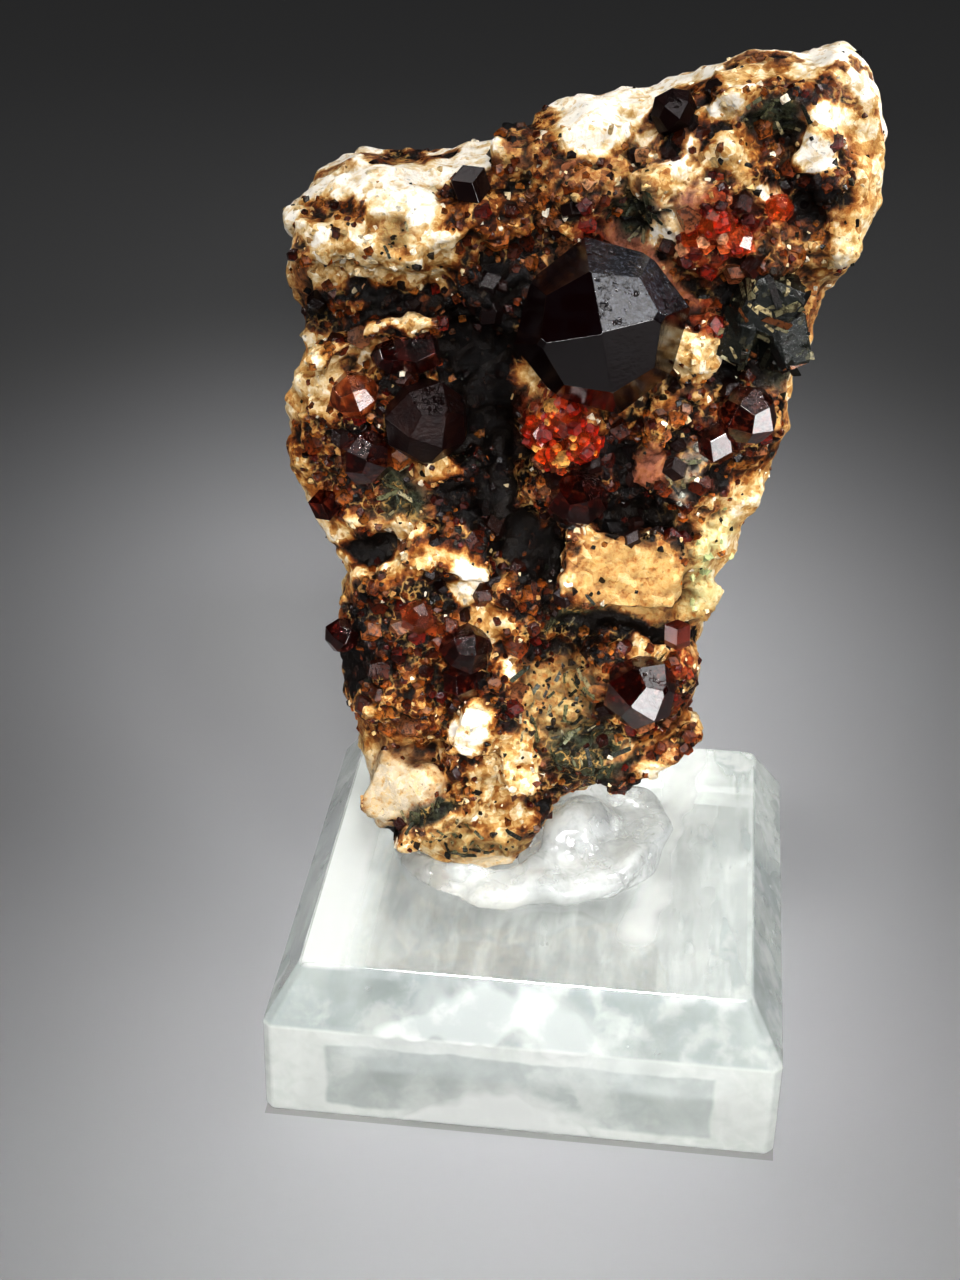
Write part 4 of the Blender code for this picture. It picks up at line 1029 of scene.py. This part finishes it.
@dataclass(frozen=True)
class BlockFinish:
    """Clear cast acrylic, faintly green, with dust and smears; its milky sides carry painted light
    and shade.

    The cloud is a painted reflection of the glue's milky underside, on the front slope and the front.
    """

    name: str = "clear_block_finish"
    tint: Colour = (0.965, 0.982, 0.966)
    milk: Colour = (0.65, 0.665, 0.64)
    # painted shade: the slopes, the right of the top and the dark pane on the front
    shade: Colour = (0.20, 0.235, 0.235)
    # painted highlights and reflections: the glue's cloud, the gleam and the left strip of the top
    painted_bright: Colour = (0.60, 0.61, 0.595)
    slope_from: float = 16.5        # where the slopes begin, from the middle, mm
    slope_foot: float = 8.5         # height of the slopes' lower edge, mm
    cloud_at: float = -2.0          # the painted glue reflection's middle and half width, mm
    cloud_half: float = 9.5
    streak_turn: float = -0.35      # how the streaks on the top lie, radians

    def make(self) -> bpy.types.Material:
        """Make the material."""
        nodes = Nodes(self.name)
        at = nodes.place()
        smear = nodes.noise(at, 0.12, 4)
        dust = nodes.noise(at, 3.0, 3)
        rough = smear.step(0.35, 0.75) * 0.035 + dust.step(0.66, 0.78) * 0.05
        clear = nodes.principled({"Base Color": self.tint, "Roughness": rough, "IOR": 1.49,
                                  "Transmission Weight": 1.0})
        tone = nodes.noise(nodes.warped(at, 0.5, 0.8), 0.30, 4)
        x, _, height = nodes.parts(at)
        # painted shade over the slopes and the top, more on the right of the top
        slope = height.step(self.slope_foot - 0.1, self.slope_foot + 0.2)
        painted_right_shade = x.step(9.0, 14.5) * height.step(12.3, 12.6)
        colour = nodes.mix(self.milk, self.shade, (slope * 0.72).math("MAXIMUM", painted_right_shade * 0.8))
        # painted shade: the dark pane on the front
        colour = nodes.mix(colour, self.shade, self.painted_dark_pane(nodes, at) * 0.52)
        # painted reflection of the glue's cloud
        colour = nodes.mix(colour, self.painted_bright, self.cloud(nodes, at) * (1 - slope * 0.58))
        # painted highlight streak on the top
        colour = nodes.mix(colour, self.painted_bright, self.painted_gleam(nodes, at))
        colour = nodes.mix(colour, self.milk, tone.step(0.46, 0.66) * 0.5)
        # painted highlight along the left of the top
        rim = x.step(-11.5, -14.0) * height.step(12.3, 12.6)
        colour = nodes.mix(colour, self.painted_bright, rim)
        milky = nodes.principled({"Base Color": colour, "Roughness": 0.12, "IOR": 1.49})
        return nodes.blend(clear, milky, self.milkiness(nodes, at))

    def milkiness(self, nodes: Nodes, at: Socket) -> Socket:
        """How milky the block looks, from 0 to 1; the milky parts carry painted shade and highlights.
        """
        x, y, _ = nodes.parts(at)
        reach = x.math("ABSOLUTE").math("MAXIMUM", y.math("ABSOLUTE"))
        slopes = reach.step(self.slope_from - 0.1, self.slope_from + 0.1)
        clouds = nodes.noise(nodes.warped(at, 0.25, 1.6), 0.16, 4)
        stretched = nodes.node("ShaderNodeMapping", {}, {
            "Vector": at, "Rotation": (0.0, 0.0, self.streak_turn), "Scale": (1.0, 0.16, 1.0)})
        streaks = nodes.noise(Socket(nodes, stretched.outputs["Vector"]), 0.55, 3)
        # the right of the top is made milkier, to carry the painted shade there
        top = (clouds.step(0.40, 0.75) * 0.16 + streaks.step(0.48, 0.66) * 0.22
               + x.step(9.0, 15.5) * 0.36 + 0.04)
        side = clouds.step(0.30, 0.70) * 0.36 + 0.52
        whole = top * (1 - slopes) + side * slopes
        # the painted highlight along the left of the top is milky too
        rim = x.step(-11.5, -14.0) * (1 - slopes) * 0.5
        whole = whole.math("MAXIMUM", self.painted_gleam(nodes, at) * 0.6).math("MAXIMUM", rim)
        # the painted glue reflection is milky too
        return whole.math("MAXIMUM", self.cloud(nodes, at) * 0.94)

    def painted_gleam(self, nodes: Nodes, at: Socket) -> Socket:
        """A painted highlight: a pale streak on the top, right of the glue."""
        x, y, z = nodes.parts(nodes.warped(at, 0.2, 1.2))
        along = x - y * 0.12
        return along.step(5.5, 9.0) * along.step(12.0, 9.5) * y.step(-15.0, -9.0) * z.step(11.0, 12.0)

    def painted_dark_pane(self, nodes: Nodes, at: Socket) -> Socket:
        """A painted dark reflection: the darker pane on the front, as wide as the block's flat top.
        """
        x, y, z = nodes.parts(nodes.warped(at, 0.35, 0.35))
        front = y.step(0.6 - self.slope_from, -0.6 - self.slope_from)
        inside = x.math("ABSOLUTE").step(14.5, 14.1) * front
        low = z.step(1.3, 1.8) * z.step(7.4, 7.1)
        high = z.step(self.slope_foot + 0.1, self.slope_foot + 0.4) * 0.45
        return inside * low.math("MAXIMUM", high)

    def cloud(self, nodes: Nodes, at: Socket) -> Socket:
        """The painted reflection of the glue's white cloud on the front slope and, lower down, on the
        front.
        """
        x, y, z = nodes.parts(nodes.warped(at, 0.22, 2.2))
        front = y.step(0.6 - self.slope_from, -0.6 - self.slope_from)
        across = (x - self.cloud_at) * (1 / self.cloud_half)
        dome = 1 - across * across
        upper = (dome * 4.6 + self.slope_foot - z).step(-0.6, 1.4)
        upper = upper * z.step(self.slope_foot - 0.9, self.slope_foot + 0.2)
        lower = (dome * 6.0 - 1.0 - z).step(-0.6, 1.6)
        return front * upper.math("MAXIMUM", lower)


@dataclass(frozen=True)
class GlueFinish:
    """Clear mounting glue with milky clouds and a wet, rippled skin."""

    name: str = "glue_finish"
    tint: Colour = (0.95, 0.96, 0.94)
    milk: Colour = (0.52, 0.53, 0.52)

    def make(self) -> bpy.types.Material:
        """Make the material."""
        nodes = Nodes(self.name)
        at = nodes.place()
        cloud = nodes.noise(nodes.warped(at, 0.4, 1.5), 0.30, 4)
        ripple = nodes.noise(at, 1.1, 3)
        normal = nodes.bump(ripple, 0.06)
        clear = nodes.principled({"Base Color": self.tint, "Roughness": ripple * 0.08 + 0.02,
                                  "IOR": 1.46, "Transmission Weight": 1.0,
                                  "Normal": normal})
        milky = nodes.principled({"Base Color": self.milk, "Roughness": 0.12, "IOR": 1.46,
                                  "Normal": normal})
        return nodes.blend(clear, milky, cloud.step(0.38, 0.66) * 0.35 + 0.30)


@dataclass(frozen=True)
class FloorFinish:
    """Plain pale paper."""

    name: str = "floor_finish"
    colour: Colour = (0.34, 0.34, 0.345)

    def make(self) -> bpy.types.Material:
        """Make the material."""
        nodes = Nodes(self.name)
        return nodes.surface({"Base Color": self.colour, "Roughness": 0.75,
                              "Specular IOR Level": 0.2})


# --- sub-assemblies -----------------------------------------------------------------------
@dataclass
class Rock:
    """The matrix rock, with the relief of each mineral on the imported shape."""

    voxel: float = 0.3
    swell: float = 0.5              # broad unevenness, mm
    chips: tuple[tuple[float, float], ...] = ((2.7, 0.75), (1.15, 0.40))
    knobs: tuple[tuple[float, float], ...] = ((1.25, 0.75), (0.62, 0.34))
    plan: MineralPlan = field(default_factory=MineralPlan)

    def build(self, garnets: BVHTree) -> Ground:
        """Build the rock and return its skin for sowing.

        Args:
            garnets: the large crystals in the specimen frame.

        Returns:
            The skin.
        """
        bm = remeshed(solid_copy("matrix_rock", UPRIGHT), self.voxel)
        bmesh.ops.recalc_face_normals(bm, faces=bm.faces)
        bm.normal_update()
        points = points_of(bm)
        weights = self.plan.weights(points)
        for vert, share in zip(bm.verts, weights):
            vert.co += vert.normal * self.relief(vert.co, share)
            self.close_gap(vert, garnets)
        bmesh.ops.smooth_vert(bm, verts=bm.verts, factor=0.35, use_axis_x=True,
                              use_axis_y=True, use_axis_z=True)
        bm.normal_update()
        # kept as 'low', which the rock's finish paints as shade in the hollows
        sunk = self.sunkenness(bm)
        ground = skin_of(bm, weights, garnets)
        rock = piece_from(bm, "rock_body", LEAN)
        self.paint(rock.data, weights, sunk)
        rock.data.materials.append(RockFinish().make())
        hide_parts("matrix_rock")
        LOG.info("rock_body: %d faces", len(rock.data.polygons))
        return ground

    def relief(self, at: Vector, share: np.ndarray) -> float:
        """How far the surface stands out at a point.

        Args:
            at: the point.
            share: the weights of the minerals there.

        Returns:
            The height in millimetres.
        """
        pale = sum(share[MINERALS.index(mineral)] for mineral in PALE_MINERALS)
        even = sum(share[MINERALS.index(mineral)] * part
                   for mineral, part in EVEN_MINERALS.items())
        height = self.swell * noise.noise(at * 0.3) + 0.22 * noise.noise(at * 0.9)
        calm = 1.0 - 0.5 * min(1.0, max(0.0, (at.y + 5.5) / 2.5))
        warped = at + 0.35 * noise.noise_vector(at * 0.8)
        if pale > 0.02:
            height += calm * (pale - even) * self.chipped(warped)
        if pale < 0.98:
            height += calm * (1.0 - pale) * self.knobbly(warped)
        return height - 0.30 * share[MINERALS.index(Mineral.BLACK)]

    def chipped(self, at: Vector) -> float:
        """The height of broken feldspar: flat chips, each tilted its own way."""
        height = 0.0
        for size, depth in self.chips:
            stretched = Vector((at.x, at.y, at.z * 1.25)) / size
            near, spots = noise.voronoi(stretched)
            tilt = noise.cell_vector(spots[0] * 5.3)
            height += depth * (0.45 * tilt.x - 0.2 + 1.15 * (stretched - spots[0]).dot(tilt))
        return height

    def knobbly(self, at: Vector) -> float:
        """The height of crust: round grains of two sizes, side by side."""
        height = 0.0
        for size, depth in self.knobs:
            near, spots = noise.voronoi(at / size)
            height += depth * (0.42 - near[0] + 0.35 * noise.cell(spots[0] * 3.1))
        return height

    def close_gap(self, vert: bmesh.types.BMVert, garnets: BVHTree) -> None:
        """Draw the rock in against a large crystal that is close by."""
        place, way, _, distance = garnets.find_nearest(vert.co, 0.8)
        if place is None:
            return
        outside = (vert.co - place).dot(way)
        if outside > 0.0:
            pull = min(1.0, max(0.0, (0.8 - distance) / 0.35))
            vert.co = vert.co.lerp(place - way * 0.12, pull)

    def sunkenness(self, bm: bmesh.types.BMesh) -> np.ndarray:
        """How far each vertex lies below the average of its surroundings, 0 to 1."""
        own = points_of(bm)
        pairs = np.array([[edge.verts[0].index, edge.verts[1].index] for edge in bm.edges])
        normals = np.array([tuple(vert.normal) for vert in bm.verts])
        mean = own.copy()
        for _ in range(4):
            total = np.zeros_like(mean)
            count = np.zeros(len(mean))
            for a, b in ((0, 1), (1, 0)):
                np.add.at(total, pairs[:, a], mean[pairs[:, b]])
                np.add.at(count, pairs[:, a], 1.0)
            mean = total / count[:, None]
        depth = ((mean - own) * normals).sum(axis=1)
        return np.clip(depth / 0.14, 0.0, 1.0)

    def paint(self, mesh: bpy.types.Mesh, weights: np.ndarray, sunk: np.ndarray) -> None:
        """Keep the minerals' colours and masks on the mesh; 'low' is the mask of painted shade in
        hollows.
        """
        colours = weights @ np.array([mineral.value for mineral in MINERALS])
        set_colours(mesh, "look", colours)
        for name, table in (("tone", TONES), ("tint", TINTS)):
            set_floats(mesh, name, weights @ [table.get(mineral, 0.0) for mineral in MINERALS])
        dark = [mineral not in PALE_MINERALS for mineral in MINERALS]
        set_floats(mesh, "crust", weights[:, dark].sum(axis=1))
        set_floats(mesh, "low", sunk)


class GarnetKind(Enum):
    """The garnets' finishes."""

    # the main garnet's pale blue-grey film is dust and a painted sheen on its upper facets
    MAIN = GarnetFinish("main_garnet_finish", (0.004, 0.0006, 0.0008), 0.0, 0.04, 0.14,
                        (0.006, 0.003, 0.004), dust=(0.11, 0.12, 0.14))
    DARK = GarnetFinish("dark_garnet_finish", (0.008, 0.0014, 0.0016), 0.0, 0.05, 0.10)
    DULL = GarnetFinish("dull_garnet_finish", (0.008, 0.002, 0.002), 0.0, 0.24, 0.25, ior=1.25)
    RED = GarnetFinish("red_garnet_finish", (0.055, 0.003, 0.002), 0.88)
    SOFT = GarnetFinish("soft_garnet_finish", (0.16, 0.020, 0.008), 0.6, 0.24, 0.12, ior=1.35)
    GLOWING = GarnetFinish("orange_garnet_finish", (0.85, 0.16, 0.030), 0.85, 0.06, 0.05,
                           (0.22, 0.012, 0.005))
    BROWN = GarnetFinish("brown_garnet_finish", (0.30, 0.070, 0.022), 0.80, 0.08)


@dataclass
class Garnets:
    """The large garnets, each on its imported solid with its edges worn."""

    worn_edge: float = 0.06
    skin_voxel: float = 0.4
    # facets turned this way carry dust and a painted sheen: up and right, towards the lights
    dust_and_sheen_side: Vector = field(default_factory=lambda: Vector((0.35, -0.30, 0.89)))
    kinds: dict[str, GarnetKind] = field(default_factory=lambda: {
        "garnet_main": GarnetKind.MAIN, "garnet_left_dark": GarnetKind.DULL,
        "garnet_top_left": GarnetKind.DARK, "garnet_top": GarnetKind.DULL,
        "garnet_left_upper": GarnetKind.RED, "garnet_left_lower": GarnetKind.RED,
        "garnet_left_edge": GarnetKind.RED, "garnet_centre_lower": GarnetKind.RED,
        "garnet_right": GarnetKind.RED, "garnet_lower_right": GarnetKind.RED,
        "garnet_lower_left": GarnetKind.RED, "garnet_lower_left_edge": GarnetKind.RED,
        "garnet_glowing_cluster": GarnetKind.GLOWING, "garnet_upper_right": GarnetKind.GLOWING,
        "garnet_rim": GarnetKind.GLOWING, "garnet_left_bright": GarnetKind.BROWN,
        "garnet_right_small": GarnetKind.SOFT, "garnet_brown": GarnetKind.BROWN})
    slots: dict[GarnetKind, str] = field(default_factory=lambda: {
        GarnetKind.MAIN: "dark_garnet", GarnetKind.DARK: "dark_garnet",
        GarnetKind.DULL: "dark_garnet", GarnetKind.RED: "red_garnet",
        GarnetKind.SOFT: "red_garnet",
        GarnetKind.GLOWING: "orange_garnet", GarnetKind.BROWN: "brown_garnet"})

    def tree(self, without: str = "") -> BVHTree:
        """All the large crystals but one as one search tree in the specimen frame."""
        whole = bmesh.new()
        for node in (*self.kinds, "dark_crystals_right"):
            if node == without:
                continue
            part = solid_copy(node, UPRIGHT)
            mesh = bpy.data.meshes.new("tree_work")
            part.to_mesh(mesh)
            part.free()
            whole.from_mesh(mesh)
            bpy.data.meshes.remove(mesh)
        bmesh.ops.recalc_face_normals(whole, faces=whole.faces)
        found = BVHTree.FromBMesh(whole)
        whole.free()
        return found

    def grow_over(self, node: str, crop: Crop, seed: int) -> None:
        """Grow a crop of small crystals over one packed crystal group.

        Args:
            node: the group's node.
            crop: what grows on it.
            seed: seeds the chance.
        """
        bm = remeshed(solid_copy(node, UPRIGHT), self.skin_voxel)
        bmesh.ops.recalc_face_normals(bm, faces=bm.faces)
        bm.normal_update()
        weights = np.zeros((len(bm.verts), len(MINERALS)))
        weights[:, MINERALS.index(Mineral.CRYSTAL)] = 1.0
        ground = skin_of(bm, weights, self.tree(node))
        bm.free()
        Grains(ground, seed=seed, crops=(crop,), back_share=1.0).build()

    def build(self) -> None:
        """Build every large garnet."""
        finishes = {kind: kind.value.make() for kind in GarnetKind}
        for node, kind in self.kinds.items():
            bm = solid_copy(node, UPRIGHT)
            bmesh.ops.dissolve_limit(bm, angle_limit=math.radians(1.0), verts=bm.verts,
                                     edges=bm.edges)
            bmesh.ops.bevel(bm, geom=bm.edges[:], offset=self.worn_edge, segments=2,
                            profile=0.5, affect="EDGES", material=-1, clamp_overlap=True)
            bmesh.ops.recalc_face_normals(bm, faces=bm.faces)
            bm.normal_update()
            # facets turned to the lights get dust and a painted sheen, kept as 'dust'
            up = np.array([vert.normal.dot(self.dust_and_sheen_side) for vert in bm.verts])
            piece = piece_from(bm, node + "_crystal", LEAN, smooth=False)
            set_floats(piece.data, "dust", np.clip((up - 0.6) * 1.5, 0.0, 0.5))
            piece.data.materials.append(finishes[kind])
            piece.visible_shadow = kind.value.clear == 0.0
            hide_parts(node)
            LOG.info("%s", piece.name)


@dataclass
class DarkCrystals:
    """The green-black crystals at the right."""

    node: str = "dark_crystals_right"
    worn_edge: float = 0.08

    def build(self) -> None:
        """Build the crystals."""
        bm = solid_copy(self.node, UPRIGHT)
        bmesh.ops.dissolve_limit(bm, angle_limit=math.radians(1.0), verts=bm.verts,
                                 edges=bm.edges)
        bmesh.ops.bevel(bm, geom=bm.edges[:], offset=self.worn_edge, segments=2, profile=0.5,
                        affect="EDGES", material=-1, clamp_overlap=True)
        piece = piece_from(bm, "dark_crystal_slabs", LEAN, smooth=False)
        piece.data.materials.append(CrystalFinish().make())
        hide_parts(self.node)
        LOG.info("%s", piece.name)


@dataclass
class DisplayBlock:
    """The clear acrylic block."""

    worn_edge: float = 0.16
    top: float = 12.7

    def build(self) -> None:
        """Build the block with slightly rounded edges."""
        bm = solid_copy("display_base", Matrix.Scale(1 / MM, 4))
        bmesh.ops.dissolve_limit(bm, angle_limit=math.radians(1.0), verts=bm.verts,
                                 edges=bm.edges)
        bmesh.ops.bevel(bm, geom=bm.edges[:], offset=self.worn_edge, segments=3, profile=0.5,
                        affect="EDGES", material=-1, clamp_overlap=True)
        piece = piece_from(bm, "acrylic_block", Matrix.Scale(MM, 4),
                           smooth=False)
        piece.data.materials.append(BlockFinish().make())
        piece.visible_shadow = False
        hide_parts("display_base")
        LOG.info("%s", piece.name)


@dataclass
class Glue:
    """The mounting glue, sunk a little into the block's top so that they are one to light."""

    voxel: float = 0.33
    sink: float = 0.18
    fold: float = 0.35              # height of the folds, mm
    folds_per_mm: float = 0.14

    def build(self) -> None:
        """Build the glue."""
        bm = remeshed(solid_copy("adhesive_mount", Matrix.Scale(1 / MM, 4)), self.voxel)
        self.soften(bm, 3)
        bm.normal_update()
        for vert in bm.verts:
            if vert.co.z > DisplayBlock.top + 0.4:
                bend = noise.noise(vert.co * self.folds_per_mm + Vector((4.0, 1.0, 2.0)))
                vert.co += vert.normal * self.fold * (math.sin(9.0 * bend) - 0.3)
        self.soften(bm, 3)
        for vert in bm.verts:
            vert.co.z -= self.sink
        piece = piece_from(bm, "glue_mass", Matrix.Scale(MM, 4))
        piece.data.materials.append(GlueFinish().make())
        piece.visible_shadow = False
        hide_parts("adhesive_mount")
        LOG.info("%s: %d faces", piece.name, len(piece.data.polygons))

    def soften(self, bm: bmesh.types.BMesh, times: int) -> None:
        """Smooth the mesh a number of times."""
        for _ in range(times):
            bmesh.ops.smooth_vert(bm, verts=bm.verts, factor=0.5, use_axis_x=True,
                                  use_axis_y=True, use_axis_z=True)


@dataclass(frozen=True)
class SoftLight:
    """A square studio light: where it stands, where it points, its side and its power."""

    name: str
    at: tuple[float, float, float]
    towards: tuple[float, float, float]
    side: float
    watts: float
    beam: float = 180.0             # degrees across
    colour: Colour = (1.0, 1.0, 1.0)

    def build(self) -> None:
        """Set up the light."""
        lamp = bpy.data.lights.new(self.name, "AREA")
        lamp.shape = "SQUARE"
        lamp.size = self.side * MM
        lamp.energy = self.watts
        lamp.spread = math.radians(self.beam)
        lamp.color = self.colour
        stand = bpy.data.objects.new(self.name, lamp)
        place = Vector(self.at)
        aim = (Vector(self.towards) - place).to_track_quat("-Z", "Y")
        stand.matrix_world = Matrix.LocRotScale(place * MM, aim, None)
        stand.visible_camera = False
        bpy.context.scene.collection.objects.link(stand)


@dataclass
class Studio:
    """The floor, the lights and the camera; the pale room shows only through clear pieces."""

    floor_side: float = 3000.0
    # darker than the floor: painted shade under the block, which casts no shadow
    card: Colour = (0.25, 0.25, 0.245)
    world_light: float = 0.9
    lens: float = 60.05
    camera_at: tuple[float, float, float] = (8.838, -137.873, 111.925)
    camera_turn: tuple[float, float, float] = (59.841, -1.061, 6.548)
    lights: tuple[SoftLight, ...] = (
        SoftLight("key_light", (-20.0, -110.0, 470.0), (0.0, -37.0, 4.0), 80.0, 0.0252, 12.8),
        SoftLight("crown_light", (60.0, -120.0, 220.0), (16.0, 0.0, 64.0), 40.0, 0.0050, 18.0),
        SoftLight("front_light", (30.0, -230.0, 150.0), (-1.0, -5.0, 26.0), 50.0, 0.0165, 23.0),
        SoftLight("left_light", (-200.0, -100.0, 90.0), (-6.0, -8.0, 45.0), 50.0, 0.0065, 20.0),
        SoftLight("right_light", (170.0, -97.0, 48.0), (0.0, -8.0, 45.0), 60.0, 0.009, 40.0),
        SoftLight("rim_light", (160.0, 60.0, 120.0), (6.0, 0.0, 62.0), 40.0, 0.006, 16.0),
        SoftLight("low_light", (95.0, -187.0, 36.0), (0.0, -8.0, 40.0), 44.0, 0.003, 36.0),
        SoftLight("foot_light", (98.0, -48.0, 6.0), (2.6, -2.2, 57.9), 40.0, 0.0024),
        SoftLight("upper_light", (90.0, -30.0, 190.0), (0.0, -8.0, 45.0), 70.0, 0.0052, 50.0),
        SoftLight("rear_light", (-60.0, 150.0, 230.0), (-8.0, 60.0, 0.0), 60.0, 0.0180, 35.0),
        SoftLight("rear_panel", (10.0, 260.0, 190.0), (0.0, 0.0, 20.0), 260.0, 0.012, 42.0),
        SoftLight("room_fill", (0.0, -60.0, 700.0), (0.0, 60.0, 0.0), 500.0, 1.15))

    def build(self) -> None:
        """Set up the studio."""
        self.lay_floor()
        self.lay_card()
        for light in self.lights:
            light.build()
        self.light_world()
        self.stand_camera()

    def lay_floor(self) -> None:
        """Lay the pale floor just under the block."""
        bm = bmesh.new()
        bmesh.ops.create_grid(bm, x_segments=1, y_segments=1, size=self.floor_side / 2 * MM)
        mesh = bpy.data.meshes.new("floor")
        bm.to_mesh(mesh)
        bm.free()
        mesh.transform(Matrix.Translation((0.0, 0.0, -0.02 * MM)))
        mesh.materials.append(FloorFinish().make())
        floor = bpy.data.objects.new("floor", mesh)
        bpy.context.scene.collection.objects.link(floor)

    def lay_card(self) -> None:
        """Lay a darker grey card under the clear block as painted shade, since the block sends twice
        the light down there.
        """
        low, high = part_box("display_base")
        bm = bmesh.new()
        bmesh.ops.create_grid(bm, x_segments=1, y_segments=1, size=(high.x - low.x) / 2)
        mesh = bpy.data.meshes.new("card")
        bm.to_mesh(mesh)
        bm.free()
        mesh.transform(Matrix.Translation((0.0, 0.0, -0.01 * MM)))
        mesh.materials.append(FloorFinish("card_finish", self.card).make())
        card = bpy.data.objects.new("card", mesh)
        bpy.context.scene.collection.objects.link(card)

    def light_world(self) -> None:
        """Give the room a low even light."""
        world = bpy.data.worlds.new("room")
        world.use_nodes = True
        back = world.node_tree.nodes["Background"]
        back.inputs["Color"].default_value = (0.92, 0.95, 1.0, 1.0)
        back.inputs["Strength"].default_value = self.world_light
        bpy.context.scene.world = world
        world.cycles_visibility.camera = False
        world.cycles_visibility.diffuse = False
        world.cycles_visibility.glossy = False

    def stand_camera(self) -> None:
        """Stand the camera."""
        made = bpy.data.cameras.new("camera")
        made.sensor_fit = "VERTICAL"
        made.sensor_height = 36.0
        made.lens = self.lens
        made.clip_start = 0.005
        camera = bpy.data.objects.new("camera", made)
        camera.location = Vector(self.camera_at) * MM
        camera.rotation_euler = Euler([math.radians(turn) for turn in self.camera_turn])
        bpy.context.scene.collection.objects.link(camera)
        bpy.context.scene.camera = camera


def main() -> None:
    """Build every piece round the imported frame."""
    logging.basicConfig(level=logging.INFO, format="%(name)s: %(message)s")
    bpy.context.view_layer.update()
    DisplayBlock().build()
    Glue().build()
    garnets = Garnets()
    ground = Rock().build(garnets.tree())
    garnets.build()
    DarkCrystals().build()
    Grains(ground).build()
    garnets.grow_over("garnet_glowing_cluster", GLOWING_CROP, 60)
    garnets.grow_over("garnet_upper_right", RED_CROP, 61)
    garnets.grow_over("dark_crystals_right", SHARD_CROP, 62)
    Studio().build()
    bpy.context.scene.view_settings.view_transform = "Standard"
    bpy.context.scene.view_settings.gamma = 0.76


if __name__ == "__main__":
    main()
